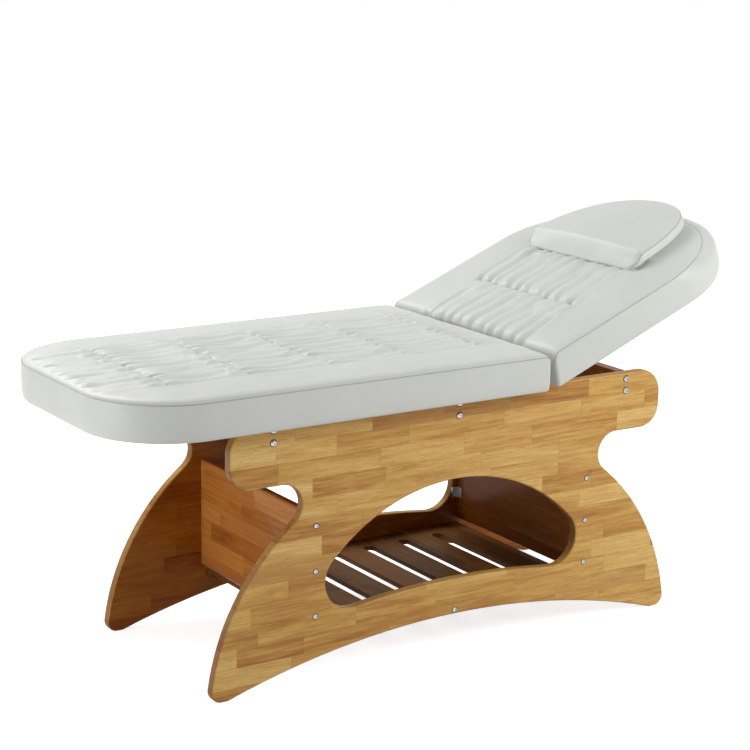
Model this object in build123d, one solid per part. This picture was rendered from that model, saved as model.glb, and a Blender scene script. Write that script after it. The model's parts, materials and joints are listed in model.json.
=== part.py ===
from build123d import *
import math
import os

# Massage bed, lengths in millimetres.
# Frame: +X to the head end, -Y the near side, +Z up, origin on the floor at mid length.

# Side panels
panel_thick = 25.0
panel_gap = 515.0
panel_edge_round = 5.0
panel_height = 644.5
arch_half_span = 630.0
arch_rise = 96.0
foot_corner_radius = 27.0
leg_arc_radius = 569.2
leg_arc_centre_x = 109.5
leg_arc_centre_drop = 50.8
arm_underside_height = 494.5
waist_radius = 52.6
arm_reach = 627.0
arm_lower_radius_share = 0.3733
arm_lower_flat_share = 0.4052
arm_upper_radius_share = 0.4267
window_arc_radius = 484.0
window_top_height = 440.0
window_band = 91.5
window_corner_radius = 72.0

# End panels, shelf and rails between the side panels
end_panel_thick = 20.0
end_panel_offset = 399.0
end_panel_bottom = 135.0
end_panel_top = 414.0
end_panel_corner_radius = 6.0
shelf_top = 124.0
shelf_thick = 12.0
slot_width = 33.0
slot_pitch = 110.0
slot_length = 400.0
slot_pairs = 3
centre_rail_width = 24.0
centre_rail_height = 20.0
centre_rail_housing = 6.0
cleat_width = 14.0
cleat_height = 12.0
cleat_gap = 1.0
cross_rail_width = 25.0
cross_rail_height = 62.5
cross_rail_offset = 514.0

# Bolts through the side panels
rail_bolt_radius = 3.0
rail_bolt_head_radius = 8.0
rail_bolt_head_height = 4.5
rail_bolt_length = 65.0
rail_bolt_heights = (598.0, 628.0)
panel_bolt_radius = 2.5
panel_bolt_head_radius = 6.0
panel_bolt_head_height = 3.5
panel_bolt_length = 60.0
panel_bolt_bottom = 163.5
panel_bolt_pitch = 110.5
panel_bolt_count = 3
bolt_clearance = 0.1
bolt_crown_share = 0.35
socket_radius_share = 0.4
socket_depth_share = 0.55
nut_radius = 5.0
nut_length = 16.0
nut_setback = 12.0

# Small steel angles that hold the end panels to the side panels
bracket_leg = 20.0
bracket_height = 30.0
bracket_thick = 2.0
bracket_centre_height = 211.0
screw_radius = 1.75
screw_head_radius = 3.5
screw_head_height = 2.0
screw_length = 12.0
screw_clearance = 0.05
board_screw_length = 40.0

# Upholstered sections
soft_clearance = 0.3
board_thick = 15.0
cushion_wrap = 4.0
cushion_half_width = 350.0
cushion_height = 100.0
seam_height = 86.5
bottom_draw = 3.0
belly_swell = 2.0
belly_height = 45.0
crown_shoulder_inset = 26.0
crown_shoulder_drop = 4.0
crown_flat_inset = 92.0
end_corner_radius = 28.0
end_crown_radius = 150.0
end_crown_start = 90.0
leg_end_corner_radius = 207.0
head_side_length = 455.5
head_corner_radius = 225.0
head_tip = 739.5
head_top_drop = 6.0
head_seam_side_length = 405.5
head_seam_tip = 709.0
head_fall_start = 435.5
head_fall_radius = 1385.0

# Sewn rows and the gathers that run through them
row_pitch = 212.0
leg_first_row = 116.5
leg_row_count = 5
head_first_row = 213.5
head_row_count = 1
row_margin = 135.0
row_half_width = 9.0
row_depth = 4.0
pleat_count = 12
pleat_half_width = 11.0
pleat_depth = 3.0
pleat_half_length = 78.0
pleat_length_wave_share = 0.14
pleat_depth_wave_share = 0.16
pleat_wave_step = 2.4
pleat_margin = 4.0
groove_floor_share = 0.12
groove_rise_share = 0.25
groove_bend_share = 0.45

# Back hinge line
pivot_above_boards = 39.5
pivot_x = 224.5
rest_tilt = 22.5
leg_wall_offset = 5.0
head_wall_offset = 5.5
head_wall_bevel = 10.8
hinge_spacing = 220.0
hinge_width = 60.0
leaf_thick = 2.5
leaf_reach = 74.0
knuckle_radius = 4.2
knuckle_gap = 0.5
hinge_pin_radius = 2.0
hinge_pin_clearance = 0.05
leaf_wall_gap = 0.4
hinge_screw_spread = 18.0

# Telescopic struts that hold the back
strut_reach = 250.0
strut_pin_drop = 20.0
strut_opening = 64.0
strut_offset = 200.0
strut_shaft_radius = 8.0
strut_running_clearance = 0.08
strut_eye_radius = 14.0
strut_eye_width = 24.0
tube_radius = 11.5
tube_length = 232.0
tube_floor = 28.0
tube_collar_radius = 14.0
tube_collar_length = 18.0
rod_radius = 8.0
rod_length = 227.0
bush_radius = 18.0
bush_length = 14.0
shaft_end_gap = 1.0
upper_bracket_plate = 3.0
upper_bracket_width = 46.0
upper_bracket_length = 60.0
upper_bracket_cheek = 4.0
upper_bracket_edge = 13.0
cheek_gap = 1.0

# Head pillow
pillow_front = 397.5
pillow_half_width = 222.0
pillow_front_corner = 31.0
pillow_side_radius = 345.0
pillow_tip = 705.5
pillow_height = 46.0
pillow_draw = 6.0
pillow_belly_height = 15.0
pillow_shoulder_inset = 12.0
pillow_crown = 8.0
pillow_front_rise = 10.0
pillow_crease_run = 46.0

overrun = 20.0

# Places worked out from the sizes above
panel_inner = panel_gap / 2
panel_outer = panel_inner + panel_thick
panel_middle = panel_inner + panel_thick / 2
board_plane = panel_height + soft_clearance
pivot_z = panel_height + pivot_above_boards
tilt = math.radians(rest_tilt)
head_reach = (head_tip - bottom_draw) * math.cos(tilt) + (pivot_z - board_plane) * math.sin(tilt)
bed_half_length = pivot_x + head_reach
leg_length = pivot_x + bed_half_length - belly_swell
leg_flat_z = panel_height
shelf_bottom = shelf_top - shelf_thick
shelf_half_length = end_panel_offset - end_panel_thick / 2
rail_bottom = panel_height - cross_rail_height
row_half_length = cushion_half_width - row_margin


def arc_between(centre, start, end):
    """Arc about a centre from start to end, the short way round."""
    middle_x = (start[0] + end[0]) / 2 - centre[0]
    middle_y = (start[1] + end[1]) / 2 - centre[1]
    stretch = math.dist(centre, start) / math.hypot(middle_x, middle_y)
    through = (centre[0] + middle_x * stretch, centre[1] + middle_y * stretch)
    return ThreePointArc(start, through, end)


def toward(start, aim, length):
    """The point that lies a length from start in the direction of aim."""
    share = length / math.dist(start, aim)
    return (start[0] + (aim[0] - start[0]) * share, start[1] + (aim[1] - start[1]) * share)


def upright(face):
    """A face drawn in X and Z, set up in the plane that faces -Y."""
    return Plane.XZ * face


def rod_between(start, end, radius):
    """Round bar between two points in space."""
    axis = Vector(*end) - Vector(*start)
    return extrude(Plane(origin=start, z_dir=axis) * Circle(radius), axis.length)


def y_bar(x, z, y_from, y_to, radius):
    """Round bar along Y."""
    return rod_between((x, y_from, z), (x, y_to, z), radius)


def block(x_from, x_to, y_from, y_to, z_from, z_to):
    """Box between six planes."""
    size = (x_to - x_from, y_to - y_from, z_to - z_from)
    middle = ((x_from + x_to) / 2, (y_from + y_to) / 2, (z_from + z_to) / 2)
    return Pos(*middle) * Box(*size)


def save(name, *solids):
    """Write one node, a single solid or a group of separate ones."""
    found = []
    for item in solids:
        found.extend(item.solids())
    shape = found[0] if len(found) == 1 else Compound(children=found)
    export_step(shape, "parts/" + name + ".step")


# Side panel

def panel_half_outline():
    """Right half of a side panel's outline, from the arch's crown up to the top edge."""
    arch_radius = (arch_half_span ** 2 + arch_rise ** 2) / (2 * arch_rise)
    arch_centre = (0, arch_rise - arch_radius)
    leg_centre = (leg_arc_centre_x, -leg_arc_centre_drop)
    corner_reach = leg_arc_radius - foot_corner_radius
    corner_lift = foot_corner_radius + leg_arc_centre_drop
    corner_x = leg_arc_centre_x + math.sqrt(corner_reach ** 2 - corner_lift ** 2)
    corner = (corner_x, foot_corner_radius)
    waist_z = arm_underside_height - waist_radius
    waist_reach = leg_arc_radius + waist_radius
    waist_x = leg_arc_centre_x + math.sqrt(waist_reach ** 2 - (waist_z + leg_arc_centre_drop) ** 2)
    waist = (waist_x, waist_z)
    arm_depth = panel_height - arm_underside_height
    arm_flat = arm_reach - waist_x
    lower_radius = min(arm_depth * arm_lower_radius_share, arm_flat * arm_lower_flat_share)
    upper_radius = arm_depth * arm_upper_radius_share
    arch_end = (arch_half_span, 0)
    flat_end = (corner_x, 0)
    leg_start = toward(leg_centre, corner, leg_arc_radius)
    leg_end = toward(leg_centre, waist, leg_arc_radius)
    waist_end = (waist_x, arm_underside_height)
    lower = (arm_reach - lower_radius, arm_underside_height + lower_radius)
    upper = (arm_reach - upper_radius, panel_height - upper_radius)
    return [
        arc_between(arch_centre, (0, arch_rise), arch_end),
        Line(arch_end, flat_end),
        arc_between(corner, flat_end, leg_start),
        arc_between(leg_centre, leg_start, leg_end),
        arc_between(waist, leg_end, waist_end),
        Line(waist_end, (lower[0], arm_underside_height)),
        arc_between(lower, (lower[0], arm_underside_height), (arm_reach, lower[1])),
        Line((arm_reach, lower[1]), (arm_reach, upper[1])),
        arc_between(upper, (arm_reach, upper[1]), (upper[0], panel_height)),
        Line((upper[0], panel_height), (0, panel_height)),
    ]


def window_half_outline():
    """Right half of the window, between an upper arc and one that follows the arch."""
    arch_radius = (arch_half_span ** 2 + arch_rise ** 2) / (2 * arch_rise)
    low_radius = arch_radius + window_band
    low_z = arch_rise - arch_radius
    top_z = window_top_height - window_arc_radius
    top_reach = window_arc_radius - window_corner_radius
    low_reach = low_radius + window_corner_radius
    spread = top_z - low_z
    corner_z = (low_reach ** 2 - top_reach ** 2 + top_z ** 2 - low_z ** 2) / (2 * spread)
    corner_x = math.sqrt(top_reach ** 2 - (corner_z - top_z) ** 2)
    corner = (corner_x, corner_z)
    top_end = toward((0, top_z), corner, window_arc_radius)
    low_end = toward((0, low_z), corner, low_radius)
    return [
        arc_between((0, top_z), (0, window_top_height), top_end),
        arc_between(corner, top_end, low_end),
        arc_between((0, low_z), low_end, (0, low_z + low_radius)),
    ]


def mirrored_face(half):
    """Face closed by a half outline and its mirror image."""
    edges = Curve() + half
    return make_face(edges + mirror(edges, about=Plane.YZ))


def side_panel(side):
    """One side panel with its window, rounded edges and bolt holes."""
    face = mirrored_face(panel_half_outline()) - mirrored_face(window_half_outline())
    panel = extrude(upright(face), panel_thick / 2, both=True)
    rims = panel.faces().filter_by(Axis.Y).edges()
    panel = fillet(rims, panel_edge_round)
    panel = Pos(0, side * panel_middle, 0) * panel
    for x, z in rail_bolt_places():
        panel -= bolt_hole(x, z, side, rail_bolt_radius)
    for x, z in panel_bolt_places():
        panel -= bolt_hole(x, z, side, panel_bolt_radius)
    panel -= bolt_hole(*shelf_bolt_place(), side, panel_bolt_radius)
    for x_side in (-1, 1):
        panel -= screw_hole(*corner_screws(x_side, side)[1])
    return panel


# Bolts and barrel nuts

def rail_bolt_places():
    """Two bolts, one above the other, at each end of every cross rail."""
    columns = (-cross_rail_offset, 0, cross_rail_offset)
    return [(x, z) for x in columns for z in rail_bolt_heights]


def panel_bolt_places():
    """A column of bolts at each end panel."""
    heights = [panel_bolt_bottom + k * panel_bolt_pitch for k in range(panel_bolt_count)]
    return [(x, z) for x in (-end_panel_offset, end_panel_offset) for z in heights]


def shelf_bolt_place():
    """Middle of the shelf's centre rail."""
    return (0, shelf_bottom + centre_rail_housing - centre_rail_height / 2)


def bolt_hole(x, z, side, radius):
    """Clearance hole through a side panel."""
    start = side * (panel_inner - overrun)
    end = side * (panel_outer + overrun)
    return y_bar(x, z, start, end, radius + bolt_clearance)


def blind_hole(x, z, side, radius, length):
    """Hole in a rail or end panel for a bolt that comes in from the side."""
    depth = panel_outer - length - bolt_clearance
    return y_bar(x, z, side * depth, side * panel_outer, radius + bolt_clearance)


def button_bolt(x, z, side, radius, head_radius, head_height, length):
    """Button-head bolt whose head lies on the panel's outer face."""
    rim = head_height * (1 - bolt_crown_share)
    face = Polyline((0, 0), (head_radius, 0), (head_radius, rim / 2),
                    (head_radius * (1 - bolt_crown_share), head_height), (0, head_height), close=True)
    head = revolve(Plane.XZ * make_face(face), Axis.Z)
    socket = extrude(RegularPolygon(head_radius * socket_radius_share, 6), head_height)
    head -= Pos(0, 0, head_height * (1 - socket_depth_share)) * socket
    head += Pos(0, 0, -length / 2) * Cylinder(radius, length)
    place = Plane(origin=(x, side * panel_outer, z), x_dir=(1, 0, 0), z_dir=(0, side, 0))
    return place * head


def nut_y(length, side):
    """Distance of a barrel nut from the middle, along Y."""
    return side * (panel_outer - length + nut_setback)


def nut_hole(x, z, side, length, thick):
    """Cross hole for a barrel nut, open to the inner face."""
    inward = -1 if x > 0 else 1
    y = nut_y(length, side)
    start = (x + inward * (thick / 2 + overrun), y, z)
    end = (x - inward * (nut_length / 2 + bolt_clearance), y, z)
    return rod_between(start, end, nut_radius + bolt_clearance)


def barrel_nut(x, z, side, length, radius):
    """Barrel nut with the hole that its bolt runs through."""
    y = nut_y(length, side)
    nut = rod_between((x - nut_length / 2, y, z), (x + nut_length / 2, y, z), nut_radius)
    return nut - y_bar(x, z, y - nut_radius * 2, y + nut_radius * 2, radius + screw_clearance)


# Boards and rails between the side panels

def end_panel(x):
    """Upright board that closes one end of the storage bay."""
    height = end_panel_top - end_panel_bottom
    panel = Pos(x, 0, end_panel_bottom + height / 2) * Box(end_panel_thick, panel_gap, height)
    long_edges = panel.edges().filter_by(Axis.Y)
    panel = fillet(long_edges, end_panel_corner_radius)
    for side in (-1, 1):
        for place_x, z in panel_bolt_places():
            if place_x * x > 0:
                panel -= blind_hole(x, z, side, panel_bolt_radius, panel_bolt_length)
                panel -= nut_hole(x, z, side, panel_bolt_length, end_panel_thick)
        panel -= screw_hole(*corner_screws(math.copysign(1, x), side)[0])
    return panel


def shelf_board():
    """Shelf with a row of rounded cross slots and a housing for the centre rail."""
    board = block(-shelf_half_length, shelf_half_length, -panel_inner, panel_inner, shelf_bottom, shelf_top)
    slot = extrude(Rot(0, 0, 90) * SlotOverall(slot_length, slot_width), shelf_thick + overrun * 2)
    for k in range(slot_pairs):
        x = slot_pitch * (k + 0.5)
        for place in (-x, x):
            board -= Pos(place, 0, shelf_bottom - overrun) * slot
    half = centre_rail_width / 2
    top = shelf_bottom + centre_rail_housing
    return board - block(-half, half, -panel_outer, panel_outer, shelf_bottom - overrun, top)


def shelf_centre_rail():
    """Rail across the middle of the shelf, bolted through both side panels."""
    half = centre_rail_width / 2
    top = shelf_bottom + centre_rail_housing
    rail = block(-half, half, -panel_inner, panel_inner, top - centre_rail_height, top)
    for side in (-1, 1):
        rail -= blind_hole(*shelf_bolt_place(), side, panel_bolt_radius, panel_bolt_length)
    return rail


def shelf_cleats():
    """Four strips along the side panels that carry the shelf."""
    start = centre_rail_width / 2 + cleat_gap
    inner = panel_inner - cleat_width
    low = shelf_bottom - cleat_height
    cleats = []
    for x_side in (-1, 1):
        for y_side in (-1, 1):
            cleat = block(start, shelf_half_length, inner, panel_inner, low, shelf_bottom)
            if x_side < 0:
                cleat = mirror(cleat, about=Plane.YZ)
            if y_side < 0:
                cleat = mirror(cleat, about=Plane.XZ)
            cleats.append(cleat)
    return cleats


def cross_rail(x):
    """Rail between the tops of the side panels."""
    half = cross_rail_width / 2
    rail = block(x - half, x + half, -panel_inner, panel_inner, rail_bottom, panel_height)
    for place in board_screw_places():
        rail -= screw_hole(place, (0, 0, -1), board_screw_length)
    for side in (-1, 1):
        for z in rail_bolt_heights:
            rail -= blind_hole(x, z, side, rail_bolt_radius, rail_bolt_length)
            rail -= nut_hole(x, z, side, rail_bolt_length, cross_rail_width)
    return rail


# Screws and small angles

def screw(head_place, direction, length=screw_length):
    """Pan-head screw, its head's underside at head_place, driven along direction."""
    body = Pos(0, 0, -screw_head_height / 2) * Cylinder(screw_head_radius, screw_head_height)
    body += Pos(0, 0, length / 2) * Cylinder(screw_radius, length)
    return Plane(origin=head_place, z_dir=direction) * body


def screw_hole(head_place, direction, length=screw_length):
    """Hole for a screw: its shank, and room for its head behind it."""
    deep = length + screw_clearance
    head_room = screw_head_height * 2
    hole = Pos(0, 0, deep / 2) * Cylinder(screw_radius + screw_clearance, deep)
    hole += Pos(0, 0, -head_room / 2) * Cylinder(screw_head_radius + screw_clearance, head_room)
    return Plane(origin=head_place, z_dir=direction) * hole


def corner_places():
    """The four inner corners where an end panel meets a side panel."""
    return [(x_side, y_side) for x_side in (-1, 1) for y_side in (-1, 1)]


def corner_screws(x_side, y_side):
    """Head places and directions of the two screws of one corner angle."""
    face_x = x_side * (shelf_half_length - bracket_thick)
    face_y = y_side * (panel_inner - bracket_thick)
    to_end = (face_x, y_side * (panel_inner - bracket_leg / 2), bracket_centre_height)
    to_side = (x_side * (shelf_half_length - bracket_leg / 2), face_y, bracket_centre_height)
    shift = bracket_height / 4
    to_end = (to_end[0], to_end[1], to_end[2] + shift)
    to_side = (to_side[0], to_side[1], to_side[2] - shift)
    return [(to_end, (x_side, 0, 0)), (to_side, (0, y_side, 0))]


def corner_bracket(x_side, y_side):
    """Steel angle in one corner of the storage bay."""
    low = bracket_centre_height - bracket_height / 2
    high = low + bracket_height
    outer_x = shelf_half_length
    outer_y = panel_inner
    angle = block(outer_x - bracket_leg, outer_x, outer_y - bracket_thick, outer_y, low, high)
    angle += block(outer_x - bracket_thick, outer_x, outer_y - bracket_leg, outer_y, low, high)
    if x_side < 0:
        angle = mirror(angle, about=Plane.YZ)
    if y_side < 0:
        angle = mirror(angle, about=Plane.XZ)
    for place, direction in corner_screws(x_side, y_side):
        angle -= screw_hole(place, direction)
    return angle


# Upholstery, drawn flat with u from the hinge line outward and h up from the boards

def leg_section(inset, height):
    """Outline of the leg section at one height, drawn in by an inset."""
    end = leg_length - inset
    half = cushion_half_width - inset
    corner = leg_end_corner_radius - inset
    edges = [
        Line((-overrun, half), (-overrun, -half)),
        Line((-overrun, -half), (end - corner, -half)),
        arc_between((end - corner, corner - half), (end - corner, -half), (end, corner - half)),
        Line((end, corner - half), (end, half - corner)),
        arc_between((end - corner, half - corner), (end, half - corner), (end - corner, half)),
        Line((end - corner, half), (-overrun, half)),
    ]
    return Pos(0, 0, height) * make_face(Curve() + edges)


def head_section(side_length, tip, inset, height):
    """Outline of the head section, which ends in a flat round, at one height."""
    half = cushion_half_width
    reach = tip - side_length
    corner_y = half - head_corner_radius
    end_radius = (reach ** 2 + corner_y ** 2 - head_corner_radius ** 2) / (2 * (reach - head_corner_radius))
    end_centre = (tip - end_radius, 0)
    start = toward(end_centre, (side_length, corner_y), end_radius - inset)
    half = half - inset
    edges = [
        Line((-overrun, half), (-overrun, -half)),
        Line((-overrun, -half), (side_length, -half)),
        arc_between((side_length, -corner_y), (side_length, -half), (start[0], -start[1])),
        arc_between(end_centre, (start[0], -start[1]), start),
        arc_between((side_length, corner_y), start, (side_length, half)),
        Line((side_length, half), (-overrun, half)),
    ]
    return Pos(0, 0, height) * make_face(Curve() + edges)


def end_profile(wall_offset, bevel, top, fall_start, length):
    """Side view of a section: leaning end wall, rounded corner, flat top, falling far end."""
    lean = math.radians(bevel)
    crown = (end_crown_start, top - end_crown_radius)
    along = (math.sin(lean), math.cos(lean))
    inward = (math.cos(lean), -math.sin(lean))
    base_x = wall_offset + end_corner_radius * inward[0] - crown[0]
    base_z = end_corner_radius * inward[1] - crown[1]
    middle = base_x * along[0] + base_z * along[1]
    gap = base_x ** 2 + base_z ** 2 - (end_crown_radius - end_corner_radius) ** 2
    climb = math.sqrt(middle ** 2 - gap) - middle
    corner = (crown[0] + base_x + climb * along[0], crown[1] + base_z + climb * along[1])
    wall_end = (corner[0] - end_corner_radius * inward[0], corner[1] - end_corner_radius * inward[1])
    corner_end = toward(crown, corner, end_crown_radius)
    wall_foot = (wall_offset - overrun * along[0], -overrun * along[1])
    edges = [
        Line(wall_foot, wall_end),
        arc_between(corner, wall_end, corner_end),
        arc_between(crown, corner_end, (end_crown_start, top)),
    ]
    far = length + overrun
    if fall_start < length:
        fall_centre = (fall_start, top - head_fall_radius)
        drop = math.sqrt(head_fall_radius ** 2 - (far - fall_start) ** 2)
        fall_end = (far, fall_centre[1] + drop)
        edges.append(Line((end_crown_start, top), (fall_start, top)))
        edges.append(arc_between(fall_centre, (fall_start, top), fall_end))
    else:
        fall_end = (far, top)
        edges.append(Line((end_crown_start, top), fall_end))
    edges.append(Line(fall_end, (far, -overrun)))
    edges.append(Line((far, -overrun), wall_foot))
    face = make_face(Curve() + edges)
    return extrude(upright(face), cushion_half_width + overrun, both=True)


def groove(place, half_length, half_width, depth, turn):
    """Boat-shaped groove sunk into the top, widest over its middle part."""
    levels = ((depth * groove_rise_share, 1 + (1 - groove_floor_share) * groove_rise_share),
              (-depth, groove_floor_share))
    faces = []
    for level, share in levels:
        tip = half_length * share
        bend = tip * groove_bend_share
        wide = half_width * share
        points = [(-tip, 0), (-bend, -wide), (bend, -wide), (tip, 0), (bend, wide), (-bend, wide)]
        face = make_face(Polyline(*points, close=True))
        faces.append(Pos(place[0], place[1], place[2] + level) * Rot(0, 0, turn) * face)
    return loft(faces, ruled=True)


def sewn_row(u, top, index, flat_end):
    """One stitched row across the section and the gathers that run through it."""
    tools = [groove((u, 0, top), row_half_length, row_half_width, row_depth, 90)]
    pitch = 2 * row_half_length / pleat_count
    for k in range(pleat_count):
        wave = math.sin(pleat_wave_step * k + index)
        depth = pleat_depth * (1 + pleat_depth_wave_share * wave)
        half_length = pleat_half_length * (1 - pleat_length_wave_share * wave)
        start = max(u - half_length, end_crown_start + pleat_margin)
        end = min(u + half_length, flat_end - pleat_margin)
        y = (k + 0.5) * pitch - row_half_length
        tools.append(groove(((start + end) / 2, y, top), (end - start) / 2, pleat_half_width, depth, 0))
    return tools


def soft_body(sections, profile, top, rows, flat_end):
    """Drawn-in sides up to the seam, a crown above it, trimmed to the side view and sewn."""
    sides = loft(sections[:3])
    crown = loft(sections[2:])
    body = (sides + crown) & profile
    for index, u in enumerate(rows):
        body -= sewn_row(u, top, index, flat_end)
    return body


def board_recess(face):
    """Space in the underside of a cushion for its board."""
    return extrude(face, board_thick + soft_clearance) + extrude(face, -overrun)


def leg_board_face(gap):
    """Outline of the leg board, grown by a gap all round."""
    inset = bottom_draw + cushion_wrap - gap
    section = leg_section(inset, 0)
    return trim_face(section, leg_wall_offset + cushion_wrap - gap)


def head_board_face(gap):
    """Outline of the back board, grown by a gap all round."""
    inset = bottom_draw + cushion_wrap - gap
    section = head_section(head_side_length, head_tip, inset, 0)
    lean = board_thick * math.tan(math.radians(head_wall_bevel))
    return trim_face(section, head_wall_offset + lean + cushion_wrap - gap)


def trim_face(face, start):
    """Face cut off square at a distance from the hinge line."""
    width = leg_length * 2
    return face & (Pos(start + width / 2, 0) * Rectangle(width, width))


def leg_cushion():
    """Upholstery of the leg section."""
    sections = [
        leg_section(bottom_draw, 0),
        leg_section(-belly_swell, belly_height),
        leg_section(0, seam_height),
        leg_section(crown_shoulder_inset, cushion_height - crown_shoulder_drop),
        leg_section(crown_flat_inset, cushion_height),
    ]
    profile = end_profile(leg_wall_offset, 0, cushion_height, leg_length, leg_length)
    rows = [leg_first_row + k * row_pitch for k in range(leg_row_count)]
    body = soft_body(sections, profile, cushion_height, rows, leg_length - crown_flat_inset)
    return body - board_recess(leg_board_face(soft_clearance))


def head_cushion():
    """Upholstery of the head section."""
    top = cushion_height - head_top_drop
    seam = seam_height
    sections = [
        head_section(head_side_length, head_tip, bottom_draw, 0),
        head_section(head_side_length, head_tip, 0, belly_height),
        head_section(head_seam_side_length, head_seam_tip, 0, seam),
        head_section(head_seam_side_length, head_seam_tip, crown_shoulder_inset, (seam + top * 2) / 3),
        head_section(head_seam_side_length, head_seam_tip, crown_flat_inset, top),
    ]
    profile = end_profile(head_wall_offset, head_wall_bevel, top, head_fall_start, head_tip)
    rows = [head_first_row + k * row_pitch for k in range(head_row_count)]
    body = soft_body(sections, profile, top, rows, head_fall_start)
    return body - board_recess(head_board_face(soft_clearance))


def place_leg(shape):
    """Set a leg piece drawn flat in u and h into the bed, foot end towards -X."""
    turned = Rot(0, 0, 180) * shape
    return Pos(pivot_x, 0, leg_flat_z) * turned


def place_back(shape):
    """Set a back piece drawn flat in u and h into the bed, tilted as it rests."""
    return tilt_back(Pos(pivot_x, 0, board_plane) * shape)


def tilt_back(shape):
    """Turn a piece of the back from lying flat to its tilt at rest."""
    hinge = Axis((pivot_x, 0, pivot_z), (0, -1, 0))
    return shape.rotate(hinge, rest_tilt)


# Hinges between the two sections

def hinge_places():
    """Middles of the three hinges."""
    return (-hinge_spacing, 0, hinge_spacing)


def knuckle_span(y, moving):
    """Spans of the knuckles of one leaf: the middle third moves, the outer two stay."""
    half_third = hinge_width / 3 / 2
    half_gap = knuckle_gap / 2
    if moving:
        return [(y - half_third + half_gap, y + half_third - half_gap)]
    outer = hinge_width / 2
    return [(y - outer, y - half_third - half_gap), (y + half_third + half_gap, y + outer)]


def leaf_screw_places(y, moving):
    """Undersides of the screws of one leaf, in u and h."""
    u = leaf_reach / 2 + leaf_thick
    side = 1 if moving else -1
    return [(side * u, y + shift, -leaf_thick) for shift in (-hinge_screw_spread, hinge_screw_spread)]


def hinge_leaf(y, moving, lift):
    """Angled leaf: a plate under the board, an upright in the gap and its knuckles."""
    side = 1 if moving else -1
    wall = head_wall_offset if moving else leg_wall_offset
    outer = side * (wall - leaf_wall_gap)
    inner = outer - side * leaf_thick
    low_y = y - hinge_width / 2
    high_y = y + hinge_width / 2
    plate_x = sorted((inner, side * (wall + leaf_reach)))
    wall_x = sorted((outer, inner))
    upright_top = lift - knuckle_radius - knuckle_gap
    bore = hinge_pin_radius + hinge_pin_clearance
    leaf = block(*plate_x, low_y, high_y, -leaf_thick, 0)
    leaf += block(*wall_x, low_y, high_y, -leaf_thick, upright_top)
    for start, end in knuckle_span(y, moving):
        leaf += block(*wall_x, start, end, 0, lift)
        leaf += y_bar(0, lift, start, end, knuckle_radius)
        leaf -= y_bar(0, lift, start - knuckle_gap, end + knuckle_gap, bore)
    for place in leaf_screw_places(y, moving):
        leaf -= screw_hole(place, (0, 0, 1))
    return leaf


def hinge_pin(y):
    """Pin through the knuckles of one hinge."""
    return y_bar(pivot_x, pivot_z, y - hinge_width / 2, y + hinge_width / 2, hinge_pin_radius)


# Struts

def upper_pin_flat():
    """Upper strut pin with the back lying flat."""
    drop = pivot_z - board_plane + strut_pin_drop
    return (pivot_x + math.sqrt(strut_reach ** 2 - drop ** 2), pivot_z - drop)


def lower_pin():
    """Lower strut pin, as far from the hinge line as the upper one."""
    upper_x, upper_z = upper_pin_flat()
    angle = math.atan2(upper_z - pivot_z, upper_x - pivot_x) - math.radians(strut_opening)
    return (pivot_x + strut_reach * math.cos(angle), pivot_z + strut_reach * math.sin(angle))


def upper_pin():
    """Upper strut pin with the back at its rest tilt."""
    upper_x, upper_z = upper_pin_flat()
    angle = math.atan2(upper_z - pivot_z, upper_x - pivot_x) + tilt
    return (pivot_x + strut_reach * math.cos(angle), pivot_z + strut_reach * math.sin(angle))


def along_strut(start, end, y, length):
    """Point in space at a length from start on the line of a strut."""
    x, z = toward(start, end, length)
    return (x, y, z)


def eye(pin, y):
    """Round eye at one end of a strut."""
    return y_bar(*pin, y - strut_eye_width / 2, y + strut_eye_width / 2, strut_eye_radius)


def eye_bore(pin, y):
    """Bore through an eye for its shaft."""
    reach = strut_eye_width
    return y_bar(*pin, y - reach, y + reach, strut_shaft_radius + strut_running_clearance)


def strut_tube(y):
    """Lower half of a strut: a tube with an eye and a collar at its mouth."""
    low = lower_pin()
    high = upper_pin()
    mouth = along_strut(low, high, y, tube_length)
    collar_start = along_strut(low, high, y, tube_length - tube_collar_length)
    tube = eye(low, y) + rod_between((low[0], y, low[1]), mouth, tube_radius)
    tube += rod_between(collar_start, mouth, tube_collar_radius)
    bore_start = along_strut(low, high, y, tube_floor)
    bore_end = along_strut(low, high, y, tube_length + overrun)
    tube -= rod_between(bore_start, bore_end, rod_radius + strut_running_clearance)
    return tube - eye_bore(low, y)


def strut_rod(y):
    """Upper half of a strut: a rod that slides in the tube."""
    low = lower_pin()
    high = upper_pin()
    tip = along_strut(high, low, y, rod_length)
    rod = eye(high, y) + rod_between((high[0], y, high[1]), tip, rod_radius)
    return rod - eye_bore(high, y)


def strut_bush(side):
    """Round bush on a side panel that carries the lower shaft."""
    x, z = lower_pin()
    bush = y_bar(x, z, side * (panel_inner - bush_length), side * panel_inner, bush_radius)
    bore = strut_shaft_radius + strut_running_clearance
    return bush - y_bar(x, z, side * (panel_inner - bush_length * 2), side * (panel_inner + overrun), bore)


def upper_bracket(y):
    """Bracket under the back board: a plate and two cheeks that hold the upper shaft."""
    pin_x, pin_z = upper_pin_flat()
    u = pin_x - pivot_x
    h = pin_z - board_plane
    plate = Pos(u, y, -upper_bracket_plate / 2)
    bracket = plate * Box(upper_bracket_length, upper_bracket_width, upper_bracket_plate)
    inner = strut_eye_width / 2 + cheek_gap
    for side in (-1, 1):
        span = sorted((y + side * inner, y + side * (inner + upper_bracket_cheek)))
        bracket += block(u - upper_bracket_edge, u + upper_bracket_edge, *span, h, 0)
        bracket += y_bar(u, h, *span, upper_bracket_edge)
    bracket -= eye_bore((u, h), y)
    for place in bracket_screw_places(y):
        bracket -= screw_hole(place, (0, 0, 1))
    return bracket


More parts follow.
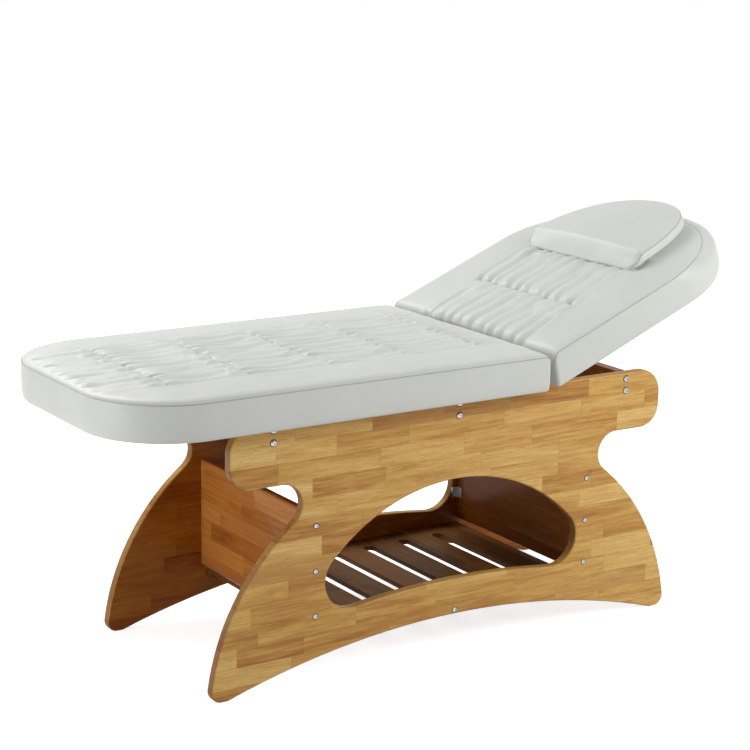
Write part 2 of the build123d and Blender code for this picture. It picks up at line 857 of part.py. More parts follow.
def bracket_screw_places(y):
    """Undersides of the two screws of one upper bracket, in u and h."""
    u = upper_pin_flat()[0] - pivot_x
    shift = (upper_bracket_length / 2 + upper_bracket_edge) / 2
    return [(u - shift, y, -upper_bracket_plate), (u + shift, y, -upper_bracket_plate)]


def board_screw_places():
    """Undersides of the heads of the screws that hold the leg board down on its rails."""
    top = panel_height + board_thick - screw_head_height - screw_clearance
    rows = (-cross_rail_offset, 0)
    return [(x, side * strut_offset / 2, top) for x in rows for side in (-1, 1)]


def leg_board():
    """Board under the leg section, in the bed's frame."""
    board = place_leg(extrude(leg_board_face(0), board_thick))
    for y in hinge_places():
        for place in leaf_screw_places(y, False):
            board -= Pos(pivot_x, 0, panel_height) * screw_hole(place, (0, 0, 1))
    for place in board_screw_places():
        board -= screw_hole(place, (0, 0, -1), board_screw_length)
    return board


def back_board():
    """Board under the head section."""
    board = extrude(head_board_face(0), board_thick)
    for y in hinge_places():
        for place in leaf_screw_places(y, True):
            board -= screw_hole(place, (0, 0, 1))
    for side in (-1, 1):
        for place in bracket_screw_places(side * strut_offset):
            board -= screw_hole(place, (0, 0, 1))
    return board


# Pillow, drawn like the head section

def pillow_section(inset, height):
    """Half-moon outline of the pillow at one height."""
    half = pillow_half_width - inset
    front = pillow_front + inset
    corner = pillow_front_corner - inset / 2
    side_start = front + corner
    side_radius = pillow_side_radius
    tip = pillow_tip - inset
    rise = side_radius - half
    reach = tip - side_start
    tip_radius = (side_radius ** 2 - reach ** 2 - rise ** 2) / (2 * (side_radius - reach))
    tip_centre = (tip - tip_radius, 0)
    join = toward((side_start, rise), tip_centre, side_radius)
    edges = [
        Line((front, half - corner), (front, corner - half)),
        arc_between((side_start, corner - half), (front, corner - half), (side_start, -half)),
        arc_between((side_start, rise), (side_start, -half), join),
        arc_between(tip_centre, join, (join[0], -join[1])),
        arc_between((side_start, -rise), (join[0], -join[1]), (side_start, half)),
        arc_between((side_start, half - corner), (side_start, half), (front, half - corner)),
    ]
    return Pos(0, 0, height) * make_face(Curve() + edges)


def pillow_cushion():
    """Half-moon pillow that follows the section below it, with a sloping front."""
    base = cushion_height - head_top_drop + soft_clearance
    top = base + pillow_height
    body = loft([
        pillow_section(pillow_draw, base - pillow_height),
        pillow_section(0, base + pillow_belly_height),
        pillow_section(pillow_shoulder_inset, top + pillow_crown),
    ], ruled=True)
    body = body & crown_band(top)
    body = body & fall_band(base, top)
    slope_foot = (pillow_front, base + pillow_front_rise)
    slope_head = (pillow_front + pillow_crease_run, top)
    stretch = math.dist(slope_foot, slope_head) + overrun
    beyond = toward(slope_head, slope_foot, stretch)
    above = toward(slope_foot, slope_head, stretch)
    wedge = make_face(Polyline(beyond, above, (beyond[0], above[1]), close=True))
    return body - extrude(upright(wedge), pillow_half_width + overrun, both=True)


def fall_band(low, high):
    """Slab that runs flat and then falls away as the head section does."""
    far = head_tip
    near = pillow_front - overrun
    half_width = pillow_half_width + overrun
    centre_z = cushion_height - head_top_drop - head_fall_radius
    edges = [Line((near, low), (near, high))]
    ends = []
    for level in (high, low):
        radius = level - centre_z
        far_z = centre_z + math.sqrt(radius ** 2 - (far - head_fall_start) ** 2)
        ends.append((far, far_z))
        edges.append(Line((near, level), (head_fall_start, level)))
        edges.append(arc_between((head_fall_start, centre_z), (head_fall_start, level), (far, far_z)))
    edges.append(Line(*ends))
    return extrude(upright(make_face(Curve() + edges)), half_width, both=True)


def crown_band(top):
    """Slab with an arched top across the width."""
    half = pillow_half_width + overrun
    radius = (half ** 2 + pillow_crown ** 2) / (2 * pillow_crown)
    edges = [
        ThreePointArc((-half, top - pillow_crown), (0, top), (half, top - pillow_crown)),
        Line((half, top - pillow_crown), (half, top - radius)),
        Line((half, top - radius), (-half, top - radius)),
        Line((-half, top - radius), (-half, top - pillow_crown)),
    ]
    return extrude(Plane.YZ * make_face(Curve() + edges), head_tip + overrun)


# Build and write every node

os.makedirs("parts", exist_ok=True)

sides = (-1, 1)
save("side_panel_near", side_panel(-1))
save("side_panel_far", side_panel(1))
save("end_panel_foot", end_panel(-end_panel_offset))
save("end_panel_head", end_panel(end_panel_offset))
save("shelf_board", shelf_board())
save("shelf_centre_rail", shelf_centre_rail())
save("shelf_cleats", *shelf_cleats())
save("cross_rail_foot", cross_rail(-cross_rail_offset))
save("cross_rail_middle", cross_rail(0))
save("cross_rail_head", cross_rail(cross_rail_offset))

rail_bolt = (rail_bolt_radius, rail_bolt_head_radius, rail_bolt_head_height, rail_bolt_length)
panel_bolt = (panel_bolt_radius, panel_bolt_head_radius, panel_bolt_head_height, panel_bolt_length)
rail_places = [(x, z, side) for side in sides for x, z in rail_bolt_places()]
panel_places = [(x, z, side) for side in sides for x, z in panel_bolt_places()]
shelf_places = [(*shelf_bolt_place(), side) for side in sides]
save("rail_bolts", *[button_bolt(*place, *rail_bolt) for place in rail_places])
save("end_panel_bolts", *[button_bolt(*place, *panel_bolt) for place in panel_places])
save("shelf_rail_bolts", *[button_bolt(*place, *panel_bolt) for place in shelf_places])
save("rail_barrel_nuts", *[barrel_nut(*place, rail_bolt_length, rail_bolt_radius) for place in rail_places])
save("end_panel_barrel_nuts", *[barrel_nut(*place, panel_bolt_length, panel_bolt_radius)
                                for place in panel_places])
save("corner_brackets", *[corner_bracket(x_side, y_side) for x_side, y_side in corner_places()])
save("corner_bracket_screws", *[screw(place, direction) for x_side, y_side in corner_places()
                                for place, direction in corner_screws(x_side, y_side)])

save("leg_board", leg_board())
save("leg_cushion", place_leg(leg_cushion()))
save("leg_board_screws", *[screw(place, (0, 0, -1), board_screw_length) for place in board_screw_places()])
save("back_board", place_back(back_board()))
save("back_cushion", place_back(head_cushion()))
save("pillow_cushion", place_back(pillow_cushion()))

leg_place = Pos(pivot_x, 0, panel_height)
fixed_lift = pivot_z - panel_height
moving_lift = pivot_z - board_plane
save("hinge_fixed_leaves", *[leg_place * hinge_leaf(y, False, fixed_lift) for y in hinge_places()])
save("hinge_fixed_screws", *[leg_place * screw(place, (0, 0, 1)) for y in hinge_places()
                             for place in leaf_screw_places(y, False)])
save("hinge_moving_leaves", *[place_back(hinge_leaf(y, True, moving_lift)) for y in hinge_places()])
save("hinge_moving_screws", *[place_back(screw(place, (0, 0, 1))) for y in hinge_places()
                              for place in leaf_screw_places(y, True)])
save("hinge_pins", *[hinge_pin(y) for y in hinge_places()])

shaft_half = panel_inner - shaft_end_gap
cheek_outer = strut_offset + strut_eye_width / 2 + cheek_gap * 2 + upper_bracket_cheek
save("strut_bushes", *[strut_bush(side) for side in sides])
save("strut_lower_shaft", y_bar(*lower_pin(), -shaft_half, shaft_half, strut_shaft_radius))
save("strut_tube_near", strut_tube(-strut_offset))
save("strut_tube_far", strut_tube(strut_offset))
save("strut_upper_shaft", y_bar(*upper_pin(), -cheek_outer, cheek_outer, strut_shaft_radius))
save("strut_rod_near", strut_rod(-strut_offset))
save("strut_rod_far", strut_rod(strut_offset))
save("strut_brackets", *[place_back(upper_bracket(side * strut_offset)) for side in sides])
save("strut_bracket_screws", *[place_back(screw(place, (0, 0, 1))) for side in sides
                               for place in bracket_screw_places(side * strut_offset)])

print("hinge line", pivot_x, pivot_z, "lower strut pin", lower_pin(), "upper strut pin", upper_pin())
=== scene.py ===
import json
import math

import bpy
import numpy as np
from mathutils import Matrix, Vector


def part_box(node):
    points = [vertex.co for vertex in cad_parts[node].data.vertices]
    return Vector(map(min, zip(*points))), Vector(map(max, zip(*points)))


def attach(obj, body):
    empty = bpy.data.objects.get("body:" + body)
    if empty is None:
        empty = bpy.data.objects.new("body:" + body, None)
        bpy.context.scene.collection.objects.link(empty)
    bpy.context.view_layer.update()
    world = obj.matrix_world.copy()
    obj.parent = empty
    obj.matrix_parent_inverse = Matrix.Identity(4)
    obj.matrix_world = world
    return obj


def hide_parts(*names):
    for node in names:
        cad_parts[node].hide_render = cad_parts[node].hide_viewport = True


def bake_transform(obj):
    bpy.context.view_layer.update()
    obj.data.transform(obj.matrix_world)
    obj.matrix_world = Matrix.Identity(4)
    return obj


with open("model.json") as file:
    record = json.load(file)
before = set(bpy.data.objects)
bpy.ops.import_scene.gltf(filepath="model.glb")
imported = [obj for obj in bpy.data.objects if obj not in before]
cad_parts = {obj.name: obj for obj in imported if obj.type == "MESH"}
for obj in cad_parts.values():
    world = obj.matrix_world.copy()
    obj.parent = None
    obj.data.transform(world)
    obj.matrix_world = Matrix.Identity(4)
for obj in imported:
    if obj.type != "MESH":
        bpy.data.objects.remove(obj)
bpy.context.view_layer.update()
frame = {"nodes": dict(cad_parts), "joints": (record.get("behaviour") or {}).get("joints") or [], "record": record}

# Looks of the massage bed, in metres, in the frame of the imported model:
# +X to the head end, -Y the near side, +Z up, origin on the floor.
# Each cushion is drawn flat, with u outward from the hinge line, y across the bed and
# z up from its board, and is then set in place.
X, Y, Z = 0, 1, 2

# Camera of the photograph
PHOTO_SIZE = 750
FOCAL_PIXELS = 2025.0
SENSOR_WIDTH = 36.0
CAMERA_PLACE = Vector((-2.7427, -4.0891, 1.8011))
CAMERA_YAW = math.radians(33.283)
CAMERA_PITCH = math.radians(13.297)
CAMERA_ROLL = math.radians(0.981)

# Lamps: name, place, aim, size, watts
LAMPS = (
    ("key_lamp", (1.6, -2.35, 1.95), (0.15, 0.0, 0.5), 1.4, 48.0),
    ("back_lamp", (-0.5, 2.4, 2.9), (0.15, 0.0, 0.7), 1.8, 65.0),
    ("foot_lamp", (-3.3, -0.1, 1.0), (-0.8, 0.0, 0.7), 1.4, 31.0),
)
SKY_LIGHT = 0.33
SKY_SEEN = 1.0
FLOOR_HALF = 14.0
FLOOR_UNDER_BED = 0.68
FLOOR_SEEN = 0.80
FLOOR_GLOW = 0.75

# Places taken from the frame
joints = {joint["name"]: joint for joint in frame["joints"]}
hinge = Vector(joints["back_tilt"]["pos_m"])
rest_tilt = math.radians(-joints["back_tilt"]["range_deg"][0])
leg_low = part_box("leg_cushion")[0]
panel_low, panel_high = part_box("side_panel_near")
boards_z = panel_high.z

# Both padded sections
HALF_WIDTH = 0.350
TOP = 0.100
SEAM = 0.0865
SEAM_ROUND = 0.002
SEAM_BELOW_TOP = 0.003
BOTTOM_DRAW = 0.003
BOTTOM_ROUND = 0.018
BELLY_SWELL = 0.002
BELLY_HEIGHT = 0.045
BOARD_THICK = 0.015
BOARD_GAP = 0.0003
WRAP = 0.0034
EDGE_ROUND = 0.026
EDGE_SHARE = 0.72
CROWN_RUN = 0.092
CROWN_SHARE = 0.28
END_ROUND = 0.028
END_CROWN_RUN = 0.090
END_CROWN_DROP = 0.0045
PLAN_ROUND = 0.009
RIPPLE = 0.0007
CALM_RUN = 0.05
CREASE_EDGE_RUN = 0.03
CREASE_WALL_START = 0.01
WALL_LEVELS = (0.03, 0.08, 0.16, 0.26, 0.38, 0.5, 0.62, 0.74, 0.85, 0.93, 0.975, 1.0)

# Grid of a section's top: size of a cell along the bed, cells across it, and how much of
# their spacing is even or grows from the sides to the middle
CELL = 0.0036
ACROSS_CELLS = 204
ACROSS_EVEN = 0.86
ACROSS_BUNCHED = 0.14
END_STEPS = 9

# Leg section
LEG_WALL = 0.005
LEG_LENGTH = hinge.x - leg_low.x - BELLY_SWELL
LEG_CORNER = 0.207
LEG_CORNER_STEPS = 84
LEG_CREASES_INSET = 0.02
LEG_CREASES_END_GAP = 0.01
LEG_CREASES_FROM = LEG_WALL + LEG_CREASES_INSET
LEG_CREASES_TO = LEG_LENGTH - LEG_CREASES_END_GAP

# Head section, whose wall leans and whose top falls to the tip
HEAD_WALL = 0.0055
HEAD_WALL_LEAN = math.tan(math.radians(10.8))
HEAD_TOP = 0.094
HEAD_SIDE = 0.4555
HEAD_TIP = 0.7395
HEAD_SEAM_SIDE = 0.4055
HEAD_SEAM_TIP = 0.709
HEAD_CORNER = 0.225
HEAD_CORNER_STEPS = 76
HEAD_END_STEPS = 26
HEAD_TIP_GAP = 0.012
FALL_START = 0.4355
FALL_RADIUS = 1.385
FALL_SEAM_DROP = 0.008
HEAD_CREASES_WALL_GAP = 0.004
HEAD_CREASES_PAST_FALL = 0.03
HEAD_CREASES_TO = FALL_START + HEAD_CREASES_PAST_FALL

# Stitched rows
ROW_PITCH = 0.212
ROW_HALF = 0.212
LEG_FIRST_ROW = 0.1165
LEG_ROWS = 5
HEAD_WALL_ROW = 0.012
HEAD_FIRST_ROW = 0.2135
HEAD_PITCH_SHARE = 0.95
HEAD_ROW_PITCH = ROW_PITCH * HEAD_PITCH_SHARE
STITCH_DIP = 0.0038
STITCH_WIDTH = 0.0046
STITCH_WANDER = 0.0016
STITCH_MARGIN = 0.01
STITCH_CELLS = 0.75
STITCH_END = 0.012
STITCH_END_RUN = 0.022
WANDER_WAVE = 41
PUFF = 0.0026
PUFF_REACH = 0.040
PUFF_WIDTH = 0.034

# Creases that start from the rows, and the foot end's own short ones
PLEATS = 10
FOOT_CREASES = 0.016
FOOT_STRENGTH = 0.7
LESSER_STRENGTH = 0.4
MAIN_REACH, MAIN_REACH_SPREAD = 0.85, 0.3
LESSER_REACH, LESSER_REACH_SPREAD = 0.18, 0.2
CREASE_JITTER = 0.4
CREASE_BEFORE = 0.008
CREASE_BEFORE_RUN = 0.012
CREASE_SHORTEST = 0.02
CREASE_SPAN = 0.07
CREASE_DEPTH = 0.0080
CREASE_WIDTH = 0.0060
CREASE_WIDTH_SPREAD = 0.0032
CREASE_SLOPE = 0.06
CREASE_BEND = 0.010
CREASE_WAVE = 0.007
CREASE_WAVE_TURN = 7
CREASE_WIDENS = 1.1
HOOK = 0.007
HOOK_SPREAD = 0.010
HOOK_RUN = 0.022
DEEP_START = 0.28
DEEP_START_RUN = 0.035
LASTING_DEPTH = 0.72
FADE_FROM = 0.62
FADE_RUN = 0.38
VALLEY_ROUND = 0.06
VALLEY_LEVEL = 0.245
RIDGE = 0.0030
RIDGE_PLACE = 2.0
RIDGE_WIDTH = 1.2
NOSE = 0.0036
NOSE_REACH = 0.016
NOSE_WIDTH = 0.0090
GATHER_MARGIN = 0.035
GATHER_FADE = 0.05

# Cloth of the gathered tops
CLOTH_SPARE = 0.075
CLOTH_FRAMES = 20
CLOTH_PRESSURE = 0.6
CLOTH_SINK = -0.0045
CLOTH_RISE = 0.0065
CLOTH_SHIFT = 0.006
CLOTH_MARGIN = 0.055
CLOTH_FADE = 0.09
CLOTH_EDGE = 0.02

# Welts
WELT_RADIUS = 0.0014
WELT_OUT = 0.0006
WELT_SINK = 0.0004
WELT_END = 0.004
WELT_END_STEPS = 18

# Dark rims round the bolt heads: painted shadow of the gap round each head
TOP_REACH = 0.0002
HEAD_REACH = 0.013
HEAD_SHARE = 1.54
RIM_RADIUS = 0.0011
RIM_CLEAR = 0.4
RIM_STEPS = 28
RIM_SIDES = 6

# Pillow
PILLOW_FRONT = 0.3975
PILLOW_HALF = 0.222
PILLOW_CORNER = 0.031
PILLOW_SIDE_RADIUS = 0.345
PILLOW_TIP = 0.7055
PILLOW_TIP_GAP = 0.02
PILLOW_THICK = 0.044
PILLOW_FRONT_RISE = 0.006
PILLOW_CREASE_RUN = 0.046
PILLOW_CREASE_ROUND = 0.009
PILLOW_BULGE = 0.0012
PILLOW_CROWN = 0.008
PILLOW_CROWN_DRAW = 0.006
PILLOW_EDGE = 0.006
PILLOW_EDGE_RUN = 0.020
PILLOW_CROWN_RUN = 0.03
PILLOW_EDGE_FRONT = 0.35
PILLOW_EDGE_BACK = 0.65
PILLOW_SWELL = 0.004
PILLOW_TUCK = 0.021
PILLOW_TUCK_FROM = 0.70
PILLOW_TUCK_RUN = 0.30
PILLOW_INSIDE = 0.98
PILLOW_LEVELS = (0.06, 0.15, 0.28, 0.42, 0.56, 0.7, 0.82, 0.91, 0.97, 1.0)
PILLOW_COLUMNS = 121
PILLOW_EVEN = 0.8
PILLOW_BUNCHED = 0.2
PILLOW_STEPS = (16, 74, 18)
PILLOW_WELT_OUT = 0.0004
PILLOW_WELT_SINK = 0.0008
PILLOW_WELT_ENDS = 6

# Wood: glued strips of finger-jointed blocks, for the panels, the boards and the shelf
PANEL_STRIP, PANEL_BLOCK = 0.047, 0.235
BOARD_STRIP, BOARD_BLOCK = 0.047, 0.26
RAIL_STRIP, RAIL_BLOCK = 0.040, 0.30
SHELF_STRIP, SHELF_BLOCK = 0.055, 0.40
JOINT_WIDTH = 0.0011
GLUE_WIDTH = 0.0008
GOLDEN = (
    (0.0, (0.35, 0.140, 0.030)), (0.25, (0.53, 0.257, 0.062)), (0.5, (0.68, 0.392, 0.104)),
    (0.75, (0.79, 0.510, 0.165)), (1.0, (0.88, 0.63, 0.25)),
)
ORANGE = (
    (0.0, (0.22, 0.060, 0.007)), (0.3, (0.36, 0.112, 0.014)), (0.6, (0.48, 0.172, 0.028)),
    (1.0, (0.60, 0.25, 0.05)),
)
UMBER = (
    (0.0, (0.064, 0.026, 0.005)), (0.4, (0.120, 0.050, 0.010)), (0.7, (0.18, 0.082, 0.019)),
    (1.0, (0.25, 0.124, 0.034)),
)
PLY = ((0.3, (0.50, 0.33, 0.18)), (0.55, (0.66, 0.48, 0.29)), (0.8, (0.74, 0.58, 0.38)))
PLY_FINE = (0.40, 0.25, 0.13, 1.0)
# Colours multiplied over the faces turned into the frame: painted shade of the frame's dim inside
PANEL_INNER_SHADE = (0.48, 0.26, 0.08, 1.0)
BOARD_INNER_SHADE = (0.55, 0.47, 0.35, 1.0)
FLECK = (0.41, 0.150, 0.040, 1.0)
REDDISH = (0.42, 0.165, 0.055, 1.0)
FIBRE = (0.23, 0.10, 0.035, 1.0)
PORE = (0.13, 0.055, 0.02, 1.0)
GLUE = (0.20, 0.085, 0.03, 1.0)
# Darker colour of the rounded edges; on faces turned up most of it is taken off, a painted highlight of light from
# above
DARK_EDGE = (0.17, 0.052, 0.008, 1.0)

# Scales of the wood's noises, in cells a metre along the grain, across it and into the board
BANDS = (2.4, 27.0, 25.0)
STREAKS = (8.0, 150.0, 140.0)
FLECKS = (20.0, 420.0, 400.0)
FIBRES = (40.0, 1100.0, 1000.0)
PORES = (95.0, 1500.0, 1400.0)

# How much each of these adds to the wood's tone, and what is taken off the sum
BLOCK_SHARE = 0.50
BAND_SHARE = 1.3
STREAK_SHARE = 0.95
TONE_LEVEL = 0.85

# The most of each colour that is mixed in, and the share of the dark edge colour that stays on faces turned up,
# where the rest gives way to a painted highlight of light from above
FLECK_SHARE = 0.55
RED_SHARE = 0.42
FIBRE_SHARE = 0.16
PORE_SHARE = 0.42
GLUE_SHARE = 0.30
DARK_EDGE_SHARE = 0.80
EDGE_SHARE_UNDER_TOP_HIGHLIGHT = 0.3
PLY_FINE_SHARE = 0.25
MOTTLE_SHARE = 0.35
WEAR_SHARE = 0.3

# Spans over which a colour or the gloss goes from least to most
FLECK_SPAN = (0.55, 0.70)
RED_SPAN = (0.76, 0.94)
FIBRE_SPAN = (0.35, 0.7)
PORE_SPAN = (0.66, 0.74)
INNER_SPAN = (0.6, 0.9)
EDGE_SPAN = (0.35, 0.98)
TOP_HIGHLIGHT_SPAN = (0.3, 0.9)
MOTTLE_SPAN = (0.35, 0.7)
MIDDLE_SPAN = (0.3, 0.7)
UPPER_SPAN = (0.4, 0.8)

# Relief of pores, joint lines and crinkles
PORE_RELIEF = -0.6
LINE_RELIEF = -0.8
CRINKLE_RELIEF = 0.9

# Steps that give each strip and block its own place in the noises
SEED_STEP = 3.7
STRIP_START = 0.37
STRIP_SCATTER = 37.0
STRIP_STEP = 5.3
BLOCK_SCATTER = 31.0
GRAIN_STEP = 3.1

# Other colours, and the leather's roughness
LEATHER_DULL = (0.645, 0.660, 0.618)
LEATHER_CLEAR = (0.685, 0.700, 0.660)
LEATHER_ROUGHNESS = (0.40, 0.50)
# Darkening of the welts' copy of the leather: painted shade of the seam's groove
SEAM_PAINTED_SHADE = 0.7
BOLT_STEEL = (0.52, 0.52, 0.53)
ZINC_STEEL = (0.62, 0.63, 0.64)
SHAFT_STEEL = (0.60, 0.61, 0.62)
MOTTLE_SHADE = (0.72, 0.72, 0.74)
TUBE_PAINT = (0.015, 0.015, 0.017)
BUSH_PLASTIC = (0.012, 0.012, 0.013)
# Painted shadow of the gap round each bolt head
RIM_PAINTED_SHADOW = (0.020, 0.017, 0.014)


# Small helpers

def smooth(x):
    """Soft step from 0 to 1."""
    x = np.clip(x, 0.0, 1.0)
    return x * x * (3 - 2 * x)


def quarter(x):
    """Quarter circle from 0 to 1, steep at its start."""
    x = np.clip(x, 0.0, 1.0)
    return np.sqrt(np.maximum(0.0, 1 - (1 - x) ** 2))


def soft_min(a, b, radius):
    """The lower of two heights, rounded where they cross."""
    gap = np.clip(0.5 + 0.5 * (b - a) / radius, 0.0, 1.0)
    return b + (a - b) * gap - radius * gap * (1 - gap)


def ripples(x, y, seed, count, longest, shortest):
    """Sum of random plane waves, about -1 to 1."""
    random = np.random.default_rng(seed)
    total = np.zeros_like(x)
    for _ in range(count):
        length = longest * (shortest / longest) ** random.random()
        angle = random.random() * math.pi
        phase = random.random() * math.tau
        total += np.sin((x * math.cos(angle) + y * math.sin(angle)) * math.tau / length + phase)
    return total / math.sqrt(count)


def make_object(name, vertices, faces, smooth_faces=True):
    """A mesh object from lists of points and faces."""
    mesh = bpy.data.meshes.new(name)
    mesh.from_pydata([tuple(v) for v in vertices], [], faces)
    mesh.validate()
    mesh.polygons.foreach_set("use_smooth", [smooth_faces] * len(mesh.polygons))
    mesh.update()
    made = bpy.data.objects.new(name, mesh)
    bpy.context.scene.collection.objects.link(made)
    return made


def join_meshes(parts):
    """One list of points and one of faces from several."""
    vertices = []
    faces = []
    for part_vertices, part_faces in parts:
        start = len(vertices)
        vertices.extend(part_vertices)
        faces.extend(tuple(start + k for k in face) for face in part_faces)
    return vertices, faces


def tube_mesh(path, radius, sides=8, closed=False):
    """Points and faces of a round cord along a path of points."""
    path = np.asarray(path)
    count = len(path)
    tangent = np.roll(path, -1, axis=0) - np.roll(path, 1, axis=0)
    if not closed:
        tangent[0] = path[1] - path[0]
        tangent[-1] = path[-1] - path[-2]
    tangent /= np.linalg.norm(tangent, axis=1)[:, None]
    up = np.cross(tangent[0], [0.0, 0.0, 1.0])
    if np.linalg.norm(up) < 1e-3:
        up = np.array([1.0, 0.0, 0.0])
    vertices = []
    for k in range(count):
        up = up - tangent[k] * (up @ tangent[k])
        up /= np.linalg.norm(up)
        side = np.cross(tangent[k], up)
        for s in range(sides):
            angle = math.tau * s / sides
            vertices.append(path[k] + radius * (math.cos(angle) * up + math.sin(angle) * side))
    faces = []
    for k in range(count if closed else count - 1):
        for s in range(sides):
            a = k * sides + s
            b = k * sides + (s + 1) % sides
            c = ((k + 1) % count) * sides + (s + 1) % sides
            d = ((k + 1) % count) * sides + s
            faces.append((a, b, c, d))
    if not closed:
        faces.append(tuple(range(sides))[::-1])
        faces.append(tuple(range((count - 1) * sides, count * sides)))
    return vertices, faces


# Outlines in plan: rows of a grid from the hinge end out, each with its half width

def arc_rows(centre_u, centre_w, radius, start, end, count, last):
    """Rows along an arc that starts and ends at the angles given from the direction of +u."""
    angles = np.linspace(start, end, count, endpoint=last)
    return np.column_stack([centre_u + radius * np.cos(angles), centre_w + radius * np.sin(angles)])


def straight_rows(wall, side, counts):
    """Rows along the straight side, closer together at the hinge end."""
    near = wall + END_ROUND * (1 - np.cos(np.linspace(0, math.pi / 2, counts[0], endpoint=False)))
    far = np.linspace(wall + END_ROUND, side, counts[1], endpoint=False)
    u = np.concatenate([near, far])
    rounding = PLAN_ROUND * (1 - quarter((u - wall) / PLAN_ROUND))
    return np.column_stack([u, HALF_WIDTH - rounding])


def leg_rows(counts):
    """Rows of the leg section, which ends in a straight edge between round corners."""
    side = LEG_LENGTH - LEG_CORNER
    corner_w = HALF_WIDTH - LEG_CORNER
    corner = arc_rows(side, corner_w, LEG_CORNER, math.pi / 2, 0, counts[2], True)
    return np.vstack([straight_rows(LEG_WALL, side, counts), corner])


def head_rows(wall, side, tip, counts):
    """Rows of the head section, which ends in a flat arc between round corners."""
    reach = tip - side
    corner_w = HALF_WIDTH - HEAD_CORNER
    end_radius = (reach ** 2 + corner_w ** 2 - HEAD_CORNER ** 2) / (2 * (reach - HEAD_CORNER))
    end_u = tip - end_radius
    turn = math.atan2(corner_w, side - end_u)
    corner = arc_rows(side, corner_w, HEAD_CORNER, math.pi / 2, turn, counts[2], False)
    end = arc_rows(end_u, 0, end_radius, turn, turn * HEAD_TIP_GAP, counts[3], True)
    return np.vstack([straight_rows(wall, side, counts), corner, end])


def pillow_rows():
    """Rows of the half-moon outline from the straight front to the tip."""
    side_start = PILLOW_FRONT + PILLOW_CORNER
    corner_w = PILLOW_HALF - PILLOW_CORNER
    rise = PILLOW_SIDE_RADIUS - PILLOW_HALF
    reach = PILLOW_TIP - side_start
    tip_radius = (PILLOW_SIDE_RADIUS ** 2 - reach ** 2 - rise ** 2) / (2 * (PILLOW_SIDE_RADIUS - reach))
    tip_u = PILLOW_TIP - tip_radius
    join = math.atan2(rise, tip_u - side_start)
    front = arc_rows(side_start, corner_w, PILLOW_CORNER, math.pi, math.pi / 2, PILLOW_STEPS[0], False)
    side = arc_rows(side_start, -rise, PILLOW_SIDE_RADIUS, math.pi / 2, join, PILLOW_STEPS[1], False)
    end = arc_rows(tip_u, 0, tip_radius, join, join * PILLOW_TIP_GAP, PILLOW_STEPS[2], True)
    return np.vstack([front, side, end])


def odd_total(*counts):
    """Counts of rows with one more along the straight side where the total would be even."""
    return (counts[0], counts[1] + 1 - sum(counts) % 2) + counts[2:]


def plan_grid(rows, columns, even, bunched):
    """Places u and y of a grid through the rows, with its columns closer at the sides."""
    step = np.linspace(-1, 1, columns)
    across = even * step + bunched * np.sin(step * math.pi / 2)
    return np.repeat(rows[:, :1], columns, axis=1), rows[:, 1:] * across[None, :]


def plan_distance(rows, u, y):
    """Distance in plan from a grid's points to the outline through its rows, 0 along its rim."""
    side = np.vstack([rows, [[rows[-1][0], 0.0]]])
    start, end = side[:-1], side[1:]
    best = np.full(u.shape, 9.0)
    for a, b in zip(start[::2], np.vstack([start[2::2], end[-1:]])):
        step = b - a
        share = ((u - a[0]) * step[0] + (np.abs(y) - a[1]) * step[1]) / max(step @ step, 1e-12)
        share = np.clip(share, 0, 1)
        best = np.minimum(best, np.hypot(u - a[0] - share * step[0], np.abs(y) - a[1] - share * step[1]))
    best[:, 0] = 0
    best[:, -1] = 0
    best[-1, :] = 0
    return best


# Gathers

